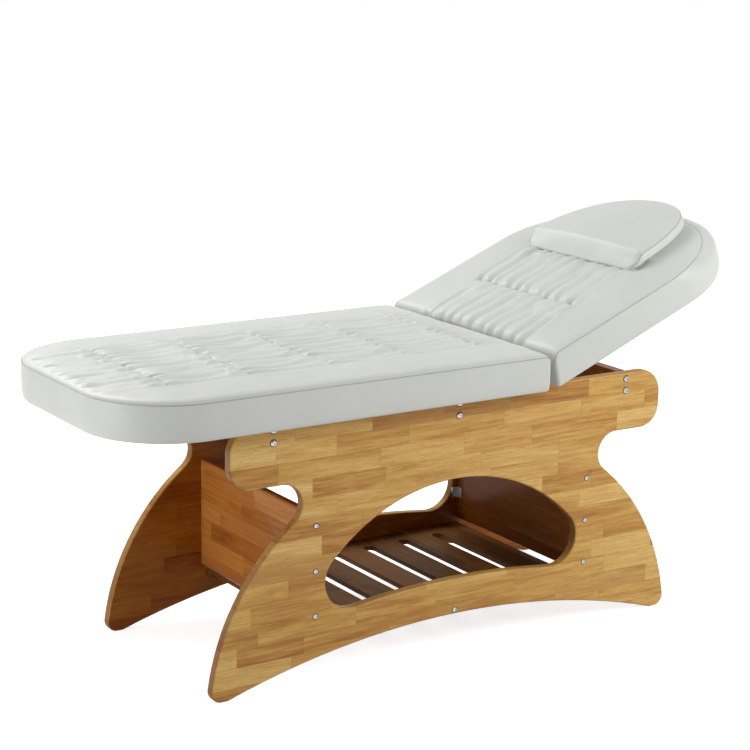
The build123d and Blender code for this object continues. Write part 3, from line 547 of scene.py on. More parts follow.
class Gathers:
    """Creases that run along the bed and start from the stitched rows."""

    def __init__(self, rows, first, last, headward, seed):
        self.rows = rows
        self.first = first
        self.last = last
        self.headward = headward
        self.random = np.random.default_rng(seed)
        self.strokes = []
        for row in rows:
            self.add_row(row, 1)
            self.add_row(row, -1)

    def add_row(self, row, way, strength=1.0):
        """One crease for each pleat on one side of a line, longer and deeper towards the head."""
        pitch = 2 * ROW_HALF / PLEATS
        room = (self.last - row) if way > 0 else (row - self.first)
        main = way == self.headward
        for k in range(PLEATS + 1):
            r = self.random.random(9)
            y = -ROW_HALF + pitch * k + (r[0] - 0.5) * pitch * CREASE_JITTER
            strong = (0.5 + 0.5 * r[1] ** 0.7) * (strength if main else LESSER_STRENGTH)
            if main:
                share = MAIN_REACH + MAIN_REACH_SPREAD * r[2]
            else:
                share = LESSER_REACH + LESSER_REACH_SPREAD * r[2]
            length = min(room, ROW_PITCH * share)
            if length > CREASE_SHORTEST:
                self.strokes.append({
                    "row": row, "way": way, "y": y, "length": length,
                    "depth": CREASE_DEPTH * strong,
                    "width": CREASE_WIDTH + CREASE_WIDTH_SPREAD * r[3],
                    "slope": (r[4] - 0.5) * CREASE_SLOPE,
                    "bend": (r[5] - 0.5) * CREASE_BEND,
                    "wave": (r[6] - 0.5) * CREASE_WAVE,
                    "ridge": RIDGE * (0.5 + r[7]) * strength,
                    "hook": -(HOOK + HOOK_SPREAD * r[8]),
                    "nose": NOSE * strong * r[4] ** 0.6,
                    "nose_y": pitch / 2,
                })

    def crease(self, s, along, y):
        """What one crease adds at points by their distance along it and their y."""
        share = np.clip(along / s["length"], 0, 1)
        line = s["y"] + s["slope"] * along + s["bend"] * share ** 2
        line = line + s["wave"] * np.sin(share * CREASE_WAVE_TURN)
        line = line + s["hook"] * np.exp(-np.clip(along, 0, None) / HOOK_RUN)
        off = (y - line) / s["width"]
        fade = LASTING_DEPTH + DEEP_START * np.exp(-np.clip(along, 0, None) / DEEP_START_RUN)
        fade = fade * smooth((along + CREASE_BEFORE) / CREASE_BEFORE_RUN)
        fade = fade * (1 - smooth((share - FADE_FROM) / FADE_RUN))
        open_out = 1 + CREASE_WIDENS * share
        valley = -s["depth"] * np.exp(-np.sqrt((off / open_out) ** 2 + VALLEY_ROUND) + VALLEY_LEVEL)
        ridge = s["ridge"] * np.exp(-((off / open_out - RIDGE_PLACE) / RIDGE_WIDTH) ** 2)
        from_nose = (y - line - s["nose_y"]) / NOSE_WIDTH
        nose = s["nose"] * np.exp(-((along - NOSE_REACH) / NOSE_REACH) ** 2 - from_nose ** 2)
        return (valley + ridge) * fade + nose

    def height(self, u, y):
        """What the creases and the rows add to the height of the top."""
        total = np.zeros_like(u)
        for s in self.strokes:
            along = (u - s["row"]) * s["way"]
            near = (along > -CREASE_BEFORE) & (along < s["length"]) & (np.abs(y - s["y"]) < CREASE_SPAN)
            if near.any():
                total[near] += self.crease(s, along[near], y[near])
        for index, row in enumerate(self.rows):
            from_row = u - row
            wander = STITCH_WANDER * np.sin(y * WANDER_WAVE + index * 2.1)
            dip = STITCH_DIP * np.exp(-np.abs((from_row - wander) / STITCH_WIDTH) ** 1.5)
            puff = PUFF * np.exp(-((np.abs(from_row) - PUFF_REACH) / PUFF_WIDTH) ** 2)
            total += (puff - dip) * smooth((ROW_HALF + STITCH_END - np.abs(y)) / STITCH_END_RUN)
        return total * smooth((ROW_HALF + GATHER_MARGIN - np.abs(y)) / GATHER_FADE)

    def held(self, u, y, cell):
        """Where the stitches hold the cloth."""
        stitched = np.zeros(u.shape, bool)
        for row in self.rows:
            stitched |= (np.abs(u - row) < cell * STITCH_CELLS) & (np.abs(y) < ROW_HALF + STITCH_MARGIN)
        return stitched | (np.abs(y) > ROW_HALF + CLOTH_MARGIN)


# Cloth simulation

def refine(values):
    """A grid twice as fine through the same values, smooth between them."""
    for axis in (0, 1):
        values = np.moveaxis(values, axis, 0)
        wide = np.concatenate([values[:1], values, values[-1:]])
        finer = np.empty((2 * len(values) - 1,) + values.shape[1:])
        finer[::2] = values
        finer[1::2] = (9 * (values[:-1] + values[1:]) - wide[:-3] - wide[3:]) / 16
        values = np.moveaxis(finer, 0, axis)
    return values


def settle(name, start, rest, held):
    """Let a sheet that has more cloth than room buckle over its padding, and give its moves."""
    n, m, _ = start.shape
    sheet = make_object(name, start.reshape(-1, 3), grid_faces(n, m))
    sheet.shape_key_add(name="Basis")
    loose = sheet.shape_key_add(name="rest")
    loose.data.foreach_set("co", rest.ravel())
    loose.value = 0.0
    stitches = sheet.vertex_groups.new(name="held")
    stitches.add([int(k) for k in np.flatnonzero(held.ravel())], 1.0, "REPLACE")
    cloth = sheet.modifiers.new("cloth", "CLOTH")
    cloth.settings.quality = 6
    cloth.settings.mass = 0.25
    cloth.settings.tension_stiffness = 18.0
    cloth.settings.compression_stiffness = 18.0
    cloth.settings.shear_stiffness = 6.0
    cloth.settings.bending_stiffness = 0.5
    cloth.settings.vertex_group_mass = "held"
    cloth.settings.rest_shape_key = loose
    cloth.settings.use_pressure = True
    cloth.settings.uniform_pressure_force = CLOTH_PRESSURE
    cloth.settings.effector_weights.gravity = 0.0
    cloth.collision_settings.use_collision = False
    scene = bpy.context.scene
    for number in range(1, CLOTH_FRAMES + 1):
        scene.frame_set(number)
    seen = sheet.evaluated_get(bpy.context.evaluated_depsgraph_get())
    settled = seen.to_mesh()
    place = np.empty(n * m * 3)
    settled.vertices.foreach_get("co", place)
    seen.to_mesh_clear()
    bpy.data.objects.remove(sheet, do_unlink=True)
    scene.frame_set(1)
    moves = place.reshape(n, m, 3) - start
    moves[..., :2] = np.clip(moves[..., :2], -CLOTH_SHIFT, CLOTH_SHIFT)
    moves[..., 2] = np.clip(moves[..., 2], CLOTH_SINK, CLOTH_RISE)
    return moves


# Closed forms: a grid on top, rings of points down from its rim, and a flat underside

def grid_faces(n, m):
    """Faces of a grid of n rows and m columns, facing up."""
    faces = []
    for i in range(n - 1):
        for j in range(m - 1):
            a = i * m + j
            faces.append((a, a + m, a + m + 1, a + 1))
    return faces


def rim_indices(n, m):
    """Indices round the grid: near side out, far end across, far side back, hinge end across."""
    near = [i * m for i in range(n)]
    end = [(n - 1) * m + j for j in range(1, m)]
    far = [i * m + m - 1 for i in range(n - 2, -1, -1)]
    wall = list(range(m - 2, 0, -1))
    return near + end + far + wall


def seam_count(n, m):
    """How many of the rim's points lie before its hinge end, along the seam."""
    return 2 * n + m - 2


def rim_normals(points):
    """Outward unit normals of a closed ring of points in plan."""
    ahead = np.roll(points, -1, axis=0) - np.roll(points, 1, axis=0)
    normal = np.column_stack([ahead[:, 1], -ahead[:, 0]])
    return normal / np.maximum(np.linalg.norm(normal, axis=1), 1e-9)[:, None]


def closed_form(name, grid, rings):
    """Object of a grid of points and the rings below its rim, with a crease along the seam."""
    n, m, _ = grid.shape
    faces = grid_faces(n, m)
    rim = rim_indices(n, m)
    loop = len(rim)
    above = rim
    for k in range(len(rings)):
        below = [n * m + k * loop + i for i in range(loop)]
        for i in range(loop):
            j = (i + 1) % loop
            faces.append((below[i], below[j], above[j], above[i]))
        above = below
    faces.append(tuple(above))
    made = make_object(name, np.vstack([grid.reshape(-1, 3)] + rings), faces)
    seam = set(rim[:seam_count(n, m)])
    for edge in made.data.edges:
        if edge.vertices[0] in seam and edge.vertices[1] in seam:
            edge.use_edge_sharp = True
    return made


# Padded sections

def side_view(top, from_wall):
    """Height of the top at a distance from the hinge end: rounded corner, then a slow rise."""
    run = np.clip(from_wall / END_CROWN_RUN, 0, 1)
    slow = END_CROWN_DROP * (1 - run) ** 2
    corner = END_ROUND * (1 - quarter(from_wall / END_ROUND))
    return top - slow - corner


def gathered_top(name, rows, top_of, seam_of, gathers, seed):
    """Grid of points of a section's top, with its crown, gathers and buckled cloth."""
    u, y = plan_grid(rows, ACROSS_CELLS + 1, ACROSS_EVEN, ACROSS_BUNCHED)
    distance = plan_distance(rows, u, y)
    from_wall = u - rows[0, 0]
    top = top_of(u, from_wall)
    seam = seam_of(u, from_wall)
    drop = top - seam
    lift = EDGE_SHARE * quarter(distance / EDGE_ROUND) + CROWN_SHARE * smooth(distance / CROWN_RUN)
    z = seam + drop * lift
    calm = smooth(distance / CALM_RUN)
    plain = z + RIPPLE * ripples(u, y, seed, count=9, longest=0.34, shortest=0.07) * calm
    z = gathers.height(u, y) * smooth(distance / CREASE_EDGE_RUN)
    z = plain + z * smooth((from_wall + CREASE_WALL_START) / CREASE_EDGE_RUN)
    start = np.dstack([u, y, z])
    rest = np.dstack([u, y + CLOTH_SPARE * np.clip(y, -ROW_HALF, ROW_HALF), plain])
    held = gathers.held(u, y, 2 * CELL) | (distance < CLOTH_EDGE)
    moves = refine(settle(name + "_cloth", start[::2, ::2], rest[::2, ::2], held[::2, ::2]))
    across = smooth((ROW_HALF + CLOTH_MARGIN - np.abs(y)) / CLOTH_FADE)
    moves *= (across * calm)[..., None]
    u = u + moves[..., 0]
    y = y + moves[..., 1]
    z = z + moves[..., 2]
    return np.dstack([u, y, z])


def wall_rings(start, low, normal, ease_share):
    """Rings down the side wall, which has a belly, then in to the board's edge and up to its top."""
    rings = []
    for level in WALL_LEVELS:
        height = start[:, 2] * (1 - level)
        fallen = np.clip((start[:, 2] - height) / np.maximum(start[:, 2] - BELLY_HEIGHT, 1e-4), 0, 1)
        eased = np.sin(fallen * math.pi / 2)
        blend = level * (1 - ease_share) + eased * ease_share
        swell = BELLY_SWELL * np.sin(np.clip(1 - height / SEAM, 0, 1) * math.pi) ** 0.8
        tuck = (BOTTOM_DRAW + BELLY_SWELL * 0.4) * (1 - quarter(height / BOTTOM_ROUND))
        out = (swell - tuck)[:, None] * normal
        plan = start[:, :2] * (1 - blend[:, None]) + low * blend[:, None] + out
        rings.append(np.column_stack([plan, height]))
    lip = rings[-1].copy()
    lip[:, :2] -= normal * WRAP
    inside = lip.copy()
    inside[:, 2] = BOARD_THICK + BOARD_GAP
    return rings + [lip, inside]


def padded_section(name, seam_rows, low_rows, straight, top_of, seam_of, gathers, seed):
    """Closed cushion: gathered top, side wall with a belly, and a recess for its board."""
    grid = gathered_top(name, seam_rows, top_of, seam_of, gathers, seed)
    n, m, _ = grid.shape
    rim = rim_indices(n, m)
    start = grid.reshape(-1, 3)[rim]
    low_u, low_y = plan_grid(low_rows, m, ACROSS_EVEN, ACROSS_BUNCHED)
    low = np.column_stack([low_u.ravel(), low_y.ravel()])[rim]
    normal = rim_normals(low)
    # The wall is plain at the hinge end and rounds over more and more towards the far end
    ease_share = smooth(np.array(rim) // m / straight * 1.25 - 0.25)
    made = closed_form(name, grid, wall_rings(start, low, normal, ease_share))
    seam = seam_count(n, m)
    return made, start[:seam], normal[:seam]


def welt_path(seam, normal, low_u):
    """Line of the welt: up the hinge end, along the seam, and down again."""
    line = np.column_stack([seam[:, :2] + normal * WELT_OUT, seam[:, 2] - WELT_SINK])
    near = end_of_welt(line[0], low_u)
    far = end_of_welt(line[-1], low_u)
    return np.vstack([near[::-1], line, far])


def end_of_welt(corner, low_u):
    """Points from a top corner down the hinge end."""
    levels = np.linspace(corner[2], WELT_END, WELT_END_STEPS)[1:]
    share = (corner[2] - levels) / corner[2]
    u = corner[0] + (low_u - corner[0]) * share
    return np.column_stack([u, np.full_like(u, corner[1]), levels])


def leg_section():
    """Cushion of the leg section and its welt, drawn flat."""
    side = LEG_LENGTH - LEG_CORNER
    counts = odd_total(END_STEPS, round((side - LEG_WALL - END_ROUND) / CELL), LEG_CORNER_STEPS)
    rows = leg_rows(counts)
    stitched = [LEG_FIRST_ROW + k * ROW_PITCH for k in range(LEG_ROWS)]
    gathers = Gathers(stitched, LEG_CREASES_FROM, LEG_CREASES_TO, headward=-1, seed=11)
    gathers.add_row(LEG_LENGTH - FOOT_CREASES, -1, FOOT_STRENGTH)

    def top_of(u, from_wall):
        return side_view(TOP, from_wall)

    def seam_of(u, from_wall):
        return soft_min(np.full_like(u, SEAM), side_view(TOP - SEAM_BELOW_TOP, from_wall), SEAM_ROUND)

    straight = counts[0] + counts[1]
    made, seam, normal = padded_section(
        "leg_upholstery", rows, rows, straight, top_of, seam_of, gathers, seed=5)
    welt = make_object("leg_welt", *tube_mesh(welt_path(seam, normal, LEG_WALL), WELT_RADIUS))
    return made, welt


def fall(u):
    """How far the head section's top has fallen at a distance from the hinge line."""
    past = np.clip(u - FALL_START, 0, None)
    return FALL_RADIUS - np.sqrt(FALL_RADIUS ** 2 - past ** 2)


def head_section():
    """Cushion of the head section and its welt, drawn flat."""
    wall_top = HEAD_WALL + (HEAD_TOP - END_ROUND) * HEAD_WALL_LEAN
    along = round((HEAD_SEAM_SIDE - wall_top - END_ROUND) / CELL)
    counts = odd_total(END_STEPS, along, HEAD_CORNER_STEPS, HEAD_END_STEPS)
    seam_rows = head_rows(wall_top, HEAD_SEAM_SIDE, HEAD_SEAM_TIP, counts)
    low_rows = head_rows(HEAD_WALL, HEAD_SIDE, HEAD_TIP, counts)
    stitched = [HEAD_WALL_ROW, HEAD_FIRST_ROW, HEAD_FIRST_ROW + HEAD_ROW_PITCH]
    gathers = Gathers(stitched, wall_top + HEAD_CREASES_WALL_GAP, HEAD_CREASES_TO, headward=1, seed=23)

    def top_of(u, from_wall):
        return side_view(HEAD_TOP, from_wall) - fall(u)

    def seam_of(u, from_wall):
        high = soft_min(np.full_like(u, SEAM), HEAD_TOP - FALL_SEAM_DROP - fall(u), SEAM_ROUND)
        return soft_min(high, side_view(HEAD_TOP - SEAM_BELOW_TOP, from_wall), SEAM_ROUND)

    straight = counts[0] + counts[1]
    made, seam, normal = padded_section(
        "back_upholstery", seam_rows, low_rows, straight, top_of, seam_of, gathers, seed=9)
    welt = make_object("back_welt", *tube_mesh(welt_path(seam, normal, HEAD_WALL), WELT_RADIUS))
    return made, welt


# Pillow

def pillow_thickness(rows, u, y):
    """Thickness of the pillow: a sloping front, a crease, a crowned top and soft edges."""
    distance = plan_distance(rows, u, y)
    from_front = u - PILLOW_FRONT
    ramp_share = np.clip(from_front / PILLOW_CREASE_RUN, 0, 1)
    slope = PILLOW_FRONT_RISE + (PILLOW_THICK - PILLOW_FRONT_RISE) * ramp_share
    bulge = PILLOW_BULGE * np.sin(ramp_share * math.pi) ** 0.8
    thick = soft_min(slope + bulge, np.full_like(u, PILLOW_THICK), PILLOW_CREASE_ROUND)
    crown = PILLOW_CROWN * (1 - (y / PILLOW_HALF) ** 2)
    edge = PILLOW_EDGE * (1 - quarter(distance / PILLOW_EDGE_RUN))
    behind = smooth(from_front / PILLOW_CROWN_RUN)
    thick = thick + (crown - PILLOW_CROWN_DRAW) * behind
    thick = thick - edge * (PILLOW_EDGE_FRONT + PILLOW_EDGE_BACK * behind)
    uneven = RIPPLE * ripples(u, y, seed=31, count=7, longest=0.2, shortest=0.06)
    return thick + uneven * smooth(distance / PILLOW_CROWN_RUN)


def pillow_rings(start, base, normal):
    """Rings down the pillow's side wall, which tucks in at the bottom, and a last one inside."""
    thick = start[:, 2] - base
    scale = np.clip(thick / PILLOW_THICK, 0.15, 1)
    rings = []
    for level in PILLOW_LEVELS:
        height = base + thick * (1 - level)
        swell = PILLOW_SWELL * math.sin(level * math.pi) ** 0.9
        out = swell - PILLOW_TUCK * max(0.0, level - PILLOW_TUCK_FROM) / PILLOW_TUCK_RUN
        rings.append(np.column_stack([start[:, :2] + normal * (out * scale)[:, None], height]))
    last = rings[-1]
    inside_u = last[:, 0] * PILLOW_INSIDE + (1 - PILLOW_INSIDE) * last[:, 0].mean()
    return rings + [np.column_stack([inside_u, last[:, 1] * PILLOW_INSIDE, last[:, 2]])]


def pillow():
    """Half-moon pillow and its welt, drawn flat over the head section."""
    rows = pillow_rows()
    u, y = plan_grid(rows, PILLOW_COLUMNS, PILLOW_EVEN, PILLOW_BUNCHED)
    base = HEAD_TOP + BOARD_GAP - fall(u)
    grid = np.dstack([u, y, base + pillow_thickness(rows, u, y)])
    n, m, _ = grid.shape
    rim = rim_indices(n, m)
    start = grid.reshape(-1, 3)[rim]
    normal = rim_normals(start[:, :2])
    made = closed_form("pillow_upholstery", grid, pillow_rings(start, base.ravel()[rim], normal))
    seam = seam_count(n, m)
    line = start[:seam]
    path = np.column_stack([line[:, :2] + normal[:seam] * PILLOW_WELT_OUT, line[:, 2] - PILLOW_WELT_SINK])
    path = path[PILLOW_WELT_ENDS:-PILLOW_WELT_ENDS]
    welt = make_object("pillow_welt", *tube_mesh(path, WELT_RADIUS))
    return made, welt


def place_leg(made):
    """Turn a flat leg piece so that it runs from the hinge line to the foot end."""
    turn = Matrix.Rotation(math.pi, 4, "Z")
    made.data.transform(Matrix.Translation((hinge.x, 0, boards_z)) @ turn)


def place_back(made):
    """Set a flat piece of the back at its rest tilt about the hinge line."""
    flat = Matrix.Translation((hinge.x, 0, boards_z + BOARD_GAP))
    turn = Matrix.Translation(hinge) @ Matrix.Rotation(-rest_tilt, 4, "Y") @ Matrix.Translation(-hinge)
    made.data.transform(turn @ flat)


# Shader helpers

def new_material(name):
    """Empty node material and its tree."""
    material = bpy.data.materials.new(name)
    material.use_nodes = True
    material.node_tree.nodes.clear()
    return material, material.node_tree


def add(tree, kind, inputs=None, **settings):
    """One shader node with its settings, values and links."""
    made = tree.nodes.new("ShaderNode" + kind)
    for key, value in settings.items():
        setattr(made, key, value)
    for key, value in (inputs or {}).items():
        if isinstance(value, bpy.types.NodeSocket):
            tree.links.new(value, made.inputs[key])
        else:
            made.inputs[key].default_value = value
    return made


def calc(tree, operation, a, b=0.0, c=0.0):
    """Result of one math node."""
    return add(tree, "Math", {0: a, 1: b, 2: c}, operation=operation).outputs[0]


def remap(tree, value, low, high, new_low=0.0, new_high=1.0):
    """Value scaled from one span to another, clamped."""
    return add(tree, "MapRange", {0: value, 1: low, 2: high, 3: new_low, 4: new_high}).outputs[0]


def mix(tree, share, a, b, blend="MIX"):
    """Mix of two colours."""
    made = add(tree, "Mix", {0: share, 6: a, 7: b}, data_type="RGBA", blend_type=blend)
    return made.outputs[2]


def ramp(tree, value, stops):
    """Colour ramp through the stops."""
    made = add(tree, "ValToRGB", {0: value})
    elements = made.color_ramp.elements
    while len(elements) < len(stops):
        elements.new(0.5)
    for element, (place, colour) in zip(elements, stops):
        element.position = place
        element.color = (*colour, 1.0)
    return made.outputs[0]


def noise(tree, vector, scale, detail=3.0, roughness=0.5, distortion=0.0):
    """Noise value."""
    made = add(tree, "TexNoise", {
        "Vector": vector, "Scale": scale, "Detail": detail, "Roughness": roughness, "Distortion": distortion})
    return made.outputs[0]


def object_place(tree):
    """Object coordinates as a vector."""
    return add(tree, "TexCoord").outputs["Object"]


def split(tree, vector):
    """The three values of a vector."""
    return list(add(tree, "SeparateXYZ", {0: vector}).outputs)


def finish_material(tree, colour, roughness, height, strength, distance, **sockets):
    """Principled surface with bump."""
    bump = add(tree, "Bump", {"Height": height, "Strength": strength, "Distance": distance})
    inputs = {"Base Color": colour, "Roughness": roughness, "Normal": bump.outputs[0]}
    inputs.update({name.replace("_", " "): value for name, value in sockets.items()})
    surface = add(tree, "BsdfPrincipled", inputs)
    add(tree, "OutputMaterial", {0: surface.outputs[0]})


def camera_or_gloss(tree):
    """1 for what the camera sees, directly or in metal and glass, and 0 for light on the object."""
    ray = add(tree, "LightPath")
    shiny = calc(tree, "MAXIMUM", ray.outputs["Is Glossy Ray"], ray.outputs["Is Transmission Ray"])
    return calc(tree, "MAXIMUM", ray.outputs["Is Camera Ray"], shiny)


# Materials

def block_pattern(tree, along, over, strip_width, block_length, seed):
    """Strips and their blocks: place among the strips, strip, random values, distance to a joint."""
    strip_place = calc(tree, "ADD", calc(tree, "DIVIDE", over, strip_width), STRIP_START + seed)
    strip = calc(tree, "FLOOR", strip_place)
    strip_random = add(tree, "TexWhiteNoise", {"W": calc(tree, "ADD", strip, seed * SEED_STEP)},
                       noise_dimensions="1D").outputs["Value"]
    block_place = calc(tree, "ADD", calc(tree, "DIVIDE", along, block_length),
                       calc(tree, "MULTIPLY", strip_random, STRIP_SCATTER))
    block_place = calc(tree, "ADD", block_place, calc(tree, "MULTIPLY", strip, STRIP_STEP))
    blocks = {"W": block_place, "Scale": 1.0, "Randomness": 0.75}
    cell = add(tree, "TexVoronoi", blocks, voronoi_dimensions="1D", feature="F1")
    border = add(tree, "TexVoronoi", blocks, voronoi_dimensions="1D", feature="DISTANCE_TO_EDGE")
    random = add(tree, "SeparateColor", {0: cell.outputs["Color"]})
    return strip_place, strip, list(random.outputs), border.outputs["Distance"]


def strip_wood(name, grain, across, strip_width, block_length, seed, tones, edge_axis=None,
               inner=None, inner_shade=BOARD_INNER_SHADE, coat=0.10, roughness=0.40):
    """Board glued up from finger-jointed strips, with grain, pores and joint lines."""
    material, tree = new_material(name)
    place = split(tree, object_place(tree))
    through = X + Y + Z - grain - across
    along, over, deep = place[grain], place[across], place[through]
    strip_place, strip, (tone, hue, shift), to_joint = block_pattern(
        tree, along, over, strip_width, block_length, seed)
    offset = calc(tree, "ADD", calc(tree, "MULTIPLY", shift, BLOCK_SCATTER),
                  calc(tree, "MULTIPLY", strip, GRAIN_STEP))

    def grain_noise(scales, **look):
        """Noise drawn out along the grain, with its own place in each block."""
        stretched = {0: calc(tree, "ADD", calc(tree, "MULTIPLY", along, scales[0]), offset),
                     1: calc(tree, "ADD", calc(tree, "MULTIPLY", over, scales[1]), offset),
                     2: calc(tree, "MULTIPLY", deep, scales[2])}
        return noise(tree, add(tree, "CombineXYZ", stretched).outputs[0], 1.0, **look)

    bands = grain_noise(BANDS, detail=5.0, roughness=0.62, distortion=1.1)
    streaks = grain_noise(STREAKS, detail=5.0, roughness=0.7, distortion=0.3)
    value = calc(tree, "MULTIPLY", tone, BLOCK_SHARE)
    value = calc(tree, "MULTIPLY_ADD", bands, BAND_SHARE, value)
    value = calc(tree, "MULTIPLY_ADD", streaks, STREAK_SHARE, value)
    colour = ramp(tree, calc(tree, "SUBTRACT", value, TONE_LEVEL), tones)

    flecks = remap(tree, grain_noise(FLECKS, roughness=0.6, distortion=0.2), *FLECK_SPAN)
    colour = mix(tree, calc(tree, "MULTIPLY", flecks, FLECK_SHARE), colour, FLECK)
    colour = mix(tree, remap(tree, hue, *RED_SPAN, 0.0, RED_SHARE), colour, REDDISH)
    fibres = grain_noise(FIBRES, detail=2.0, roughness=0.6)
    colour = mix(tree, remap(tree, fibres, *FIBRE_SPAN, 0.0, FIBRE_SHARE), colour, FIBRE)
    pores = remap(tree, grain_noise(PORES, detail=1.0, roughness=0.4), *PORE_SPAN)
    colour = mix(tree, calc(tree, "MULTIPLY", pores, PORE_SHARE), colour, PORE)

    joint = remap(tree, to_joint, 0.0, JOINT_WIDTH / block_length, 1.0, 0.0)
    fraction = calc(tree, "FRACT", strip_place)
    to_glue = calc(tree, "MINIMUM", fraction, calc(tree, "SUBTRACT", 1.0, fraction))
    glue = remap(tree, to_glue, 0.0, GLUE_WIDTH / strip_width, 1.0, 0.0)
    line = calc(tree, "MAXIMUM", joint, glue)
    colour = mix(tree, calc(tree, "MULTIPLY", line, GLUE_SHARE), colour, GLUE)

    facing = split(tree, add(tree, "NewGeometry").outputs["Normal"])
    # Faces turned into the frame are darkened by a multiply: painted shade of the frame's dim inside
    if inner is not None:
        inner_shade_share = remap(tree, calc(tree, "MULTIPLY", facing[edge_axis], inner), *INNER_SPAN)
        colour = mix(tree, inner_shade_share, colour, inner_shade, "MULTIPLY")
    # Rounded edges are darker, and lighter where they face up: that lightening is a painted highlight of light
    # from above
    if edge_axis is not None:
        edge = remap(tree, calc(tree, "ABSOLUTE", facing[edge_axis]), *EDGE_SPAN, DARK_EDGE_SHARE, 0.0)
        painted_top_highlight = remap(tree, facing[Z], *TOP_HIGHLIGHT_SPAN, 1.0, EDGE_SHARE_UNDER_TOP_HIGHLIGHT)
        edge = calc(tree, "MULTIPLY", edge, painted_top_highlight)
        colour = mix(tree, edge, colour, DARK_EDGE)

    relief = calc(tree, "MULTIPLY_ADD", pores, PORE_RELIEF, streaks)
    relief = calc(tree, "MULTIPLY_ADD", line, LINE_RELIEF, relief)
    gloss = remap(tree, streaks, *MIDDLE_SPAN, roughness - 0.04, roughness + 0.08)
    finish_material(tree, colour, gloss, relief, strength=0.22, distance=0.0004,
                    Coat_Weight=coat, Coat_Roughness=0.09, Specular_IOR_Level=0.12)
    return material


def plywood(name):
    """Bare plywood with a faint long grain."""
    material, tree = new_material(name)
    place = object_place(tree)
    x, y, z = split(tree, place)
    drawn_out = add(tree, "CombineXYZ", {
        0: calc(tree, "MULTIPLY", x, 5.0), 1: calc(tree, "MULTIPLY", y, 60.0), 2: z}).outputs[0]
    grain = noise(tree, drawn_out, 1.0, detail=6.0, roughness=0.6, distortion=1.2)
    fine = noise(tree, place, 420.0, detail=2.0)
    fine_share = remap(tree, fine, *UPPER_SPAN, 0.0, PLY_FINE_SHARE)
    colour = mix(tree, fine_share, ramp(tree, grain, PLY), PLY_FINE)
    finish_material(tree, colour, roughness=0.62, height=grain, strength=0.15, distance=0.0003)
    return material


def leatherette(name, shade=1.0):
    """Off-white artificial leather: soft sheen, fine pebble grain, faint tonal drift."""
    material, tree = new_material(name)
    place = object_place(tree)
    drift = noise(tree, place, 5.0)
    pebbles = add(tree, "TexVoronoi", {"Vector": place, "Scale": 900.0, "Randomness": 1.0},
                  feature="SMOOTH_F1")
    crinkle = noise(tree, place, 140.0, detail=4.0, roughness=0.6)
    # A shade below 1 gives a darker copy of the leather, used on the welts as painted shade of the seam's groove
    dull = tuple(shade * part for part in LEATHER_DULL)
    clear = tuple(shade * part for part in LEATHER_CLEAR)
    height = calc(tree, "MULTIPLY_ADD", crinkle, CRINKLE_RELIEF, pebbles.outputs["Distance"])
    gloss = remap(tree, crinkle, *MIDDLE_SPAN, *LEATHER_ROUGHNESS)
    colour = ramp(tree, drift, [(0.25, dull), (0.75, clear)])
    finish_material(tree, colour, gloss, height, strength=0.10, distance=0.0005,
                    Specular_IOR_Level=0.38, Coat_Weight=0.03, Coat_Roughness=0.3)
    return material


def metal(name, colour, roughness, scratch=0.08):
    """Steel with a fine grain and slight mottling."""
    material, tree = new_material(name)
    place = object_place(tree)
    mottle = noise(tree, place, 60.0, detail=4.0, roughness=0.6)
    fine = noise(tree, place, 900.0, detail=2.0)
    dark = tuple(part * shade for part, shade in zip(colour, MOTTLE_SHADE))
    mottle_share = remap(tree, mottle, *MOTTLE_SPAN, 0.0, MOTTLE_SHARE)
    tint = mix(tree, mottle_share, (*colour, 1.0), (*dark, 1.0))
    gloss = remap(tree, mottle, *MIDDLE_SPAN, roughness - scratch, roughness + scratch)
    finish_material(tree, tint, gloss, fine, strength=0.06, distance=0.0002, Metallic=1.0)
    return material


def coated(name, colour, roughness):
    """Paint or plastic with a slight orange-peel surface."""
    material, tree = new_material(name)
    place = object_place(tree)
    peel = noise(tree, place, 350.0)
    wear = noise(tree, place, 22.0, detail=4.0)
    worn = tuple(part * 1.5 + 0.01 for part in colour)
    wear_share = remap(tree, wear, *UPPER_SPAN, 0.0, WEAR_SHARE)
    tint = mix(tree, wear_share, (*colour, 1.0), (*worn, 1.0))
    gloss = remap(tree, wear, *MIDDLE_SPAN, roughness - 0.05, roughness + 0.08)
    finish_material(tree, tint, gloss, peel, strength=0.12, distance=0.0003)
    return material


# Pieces

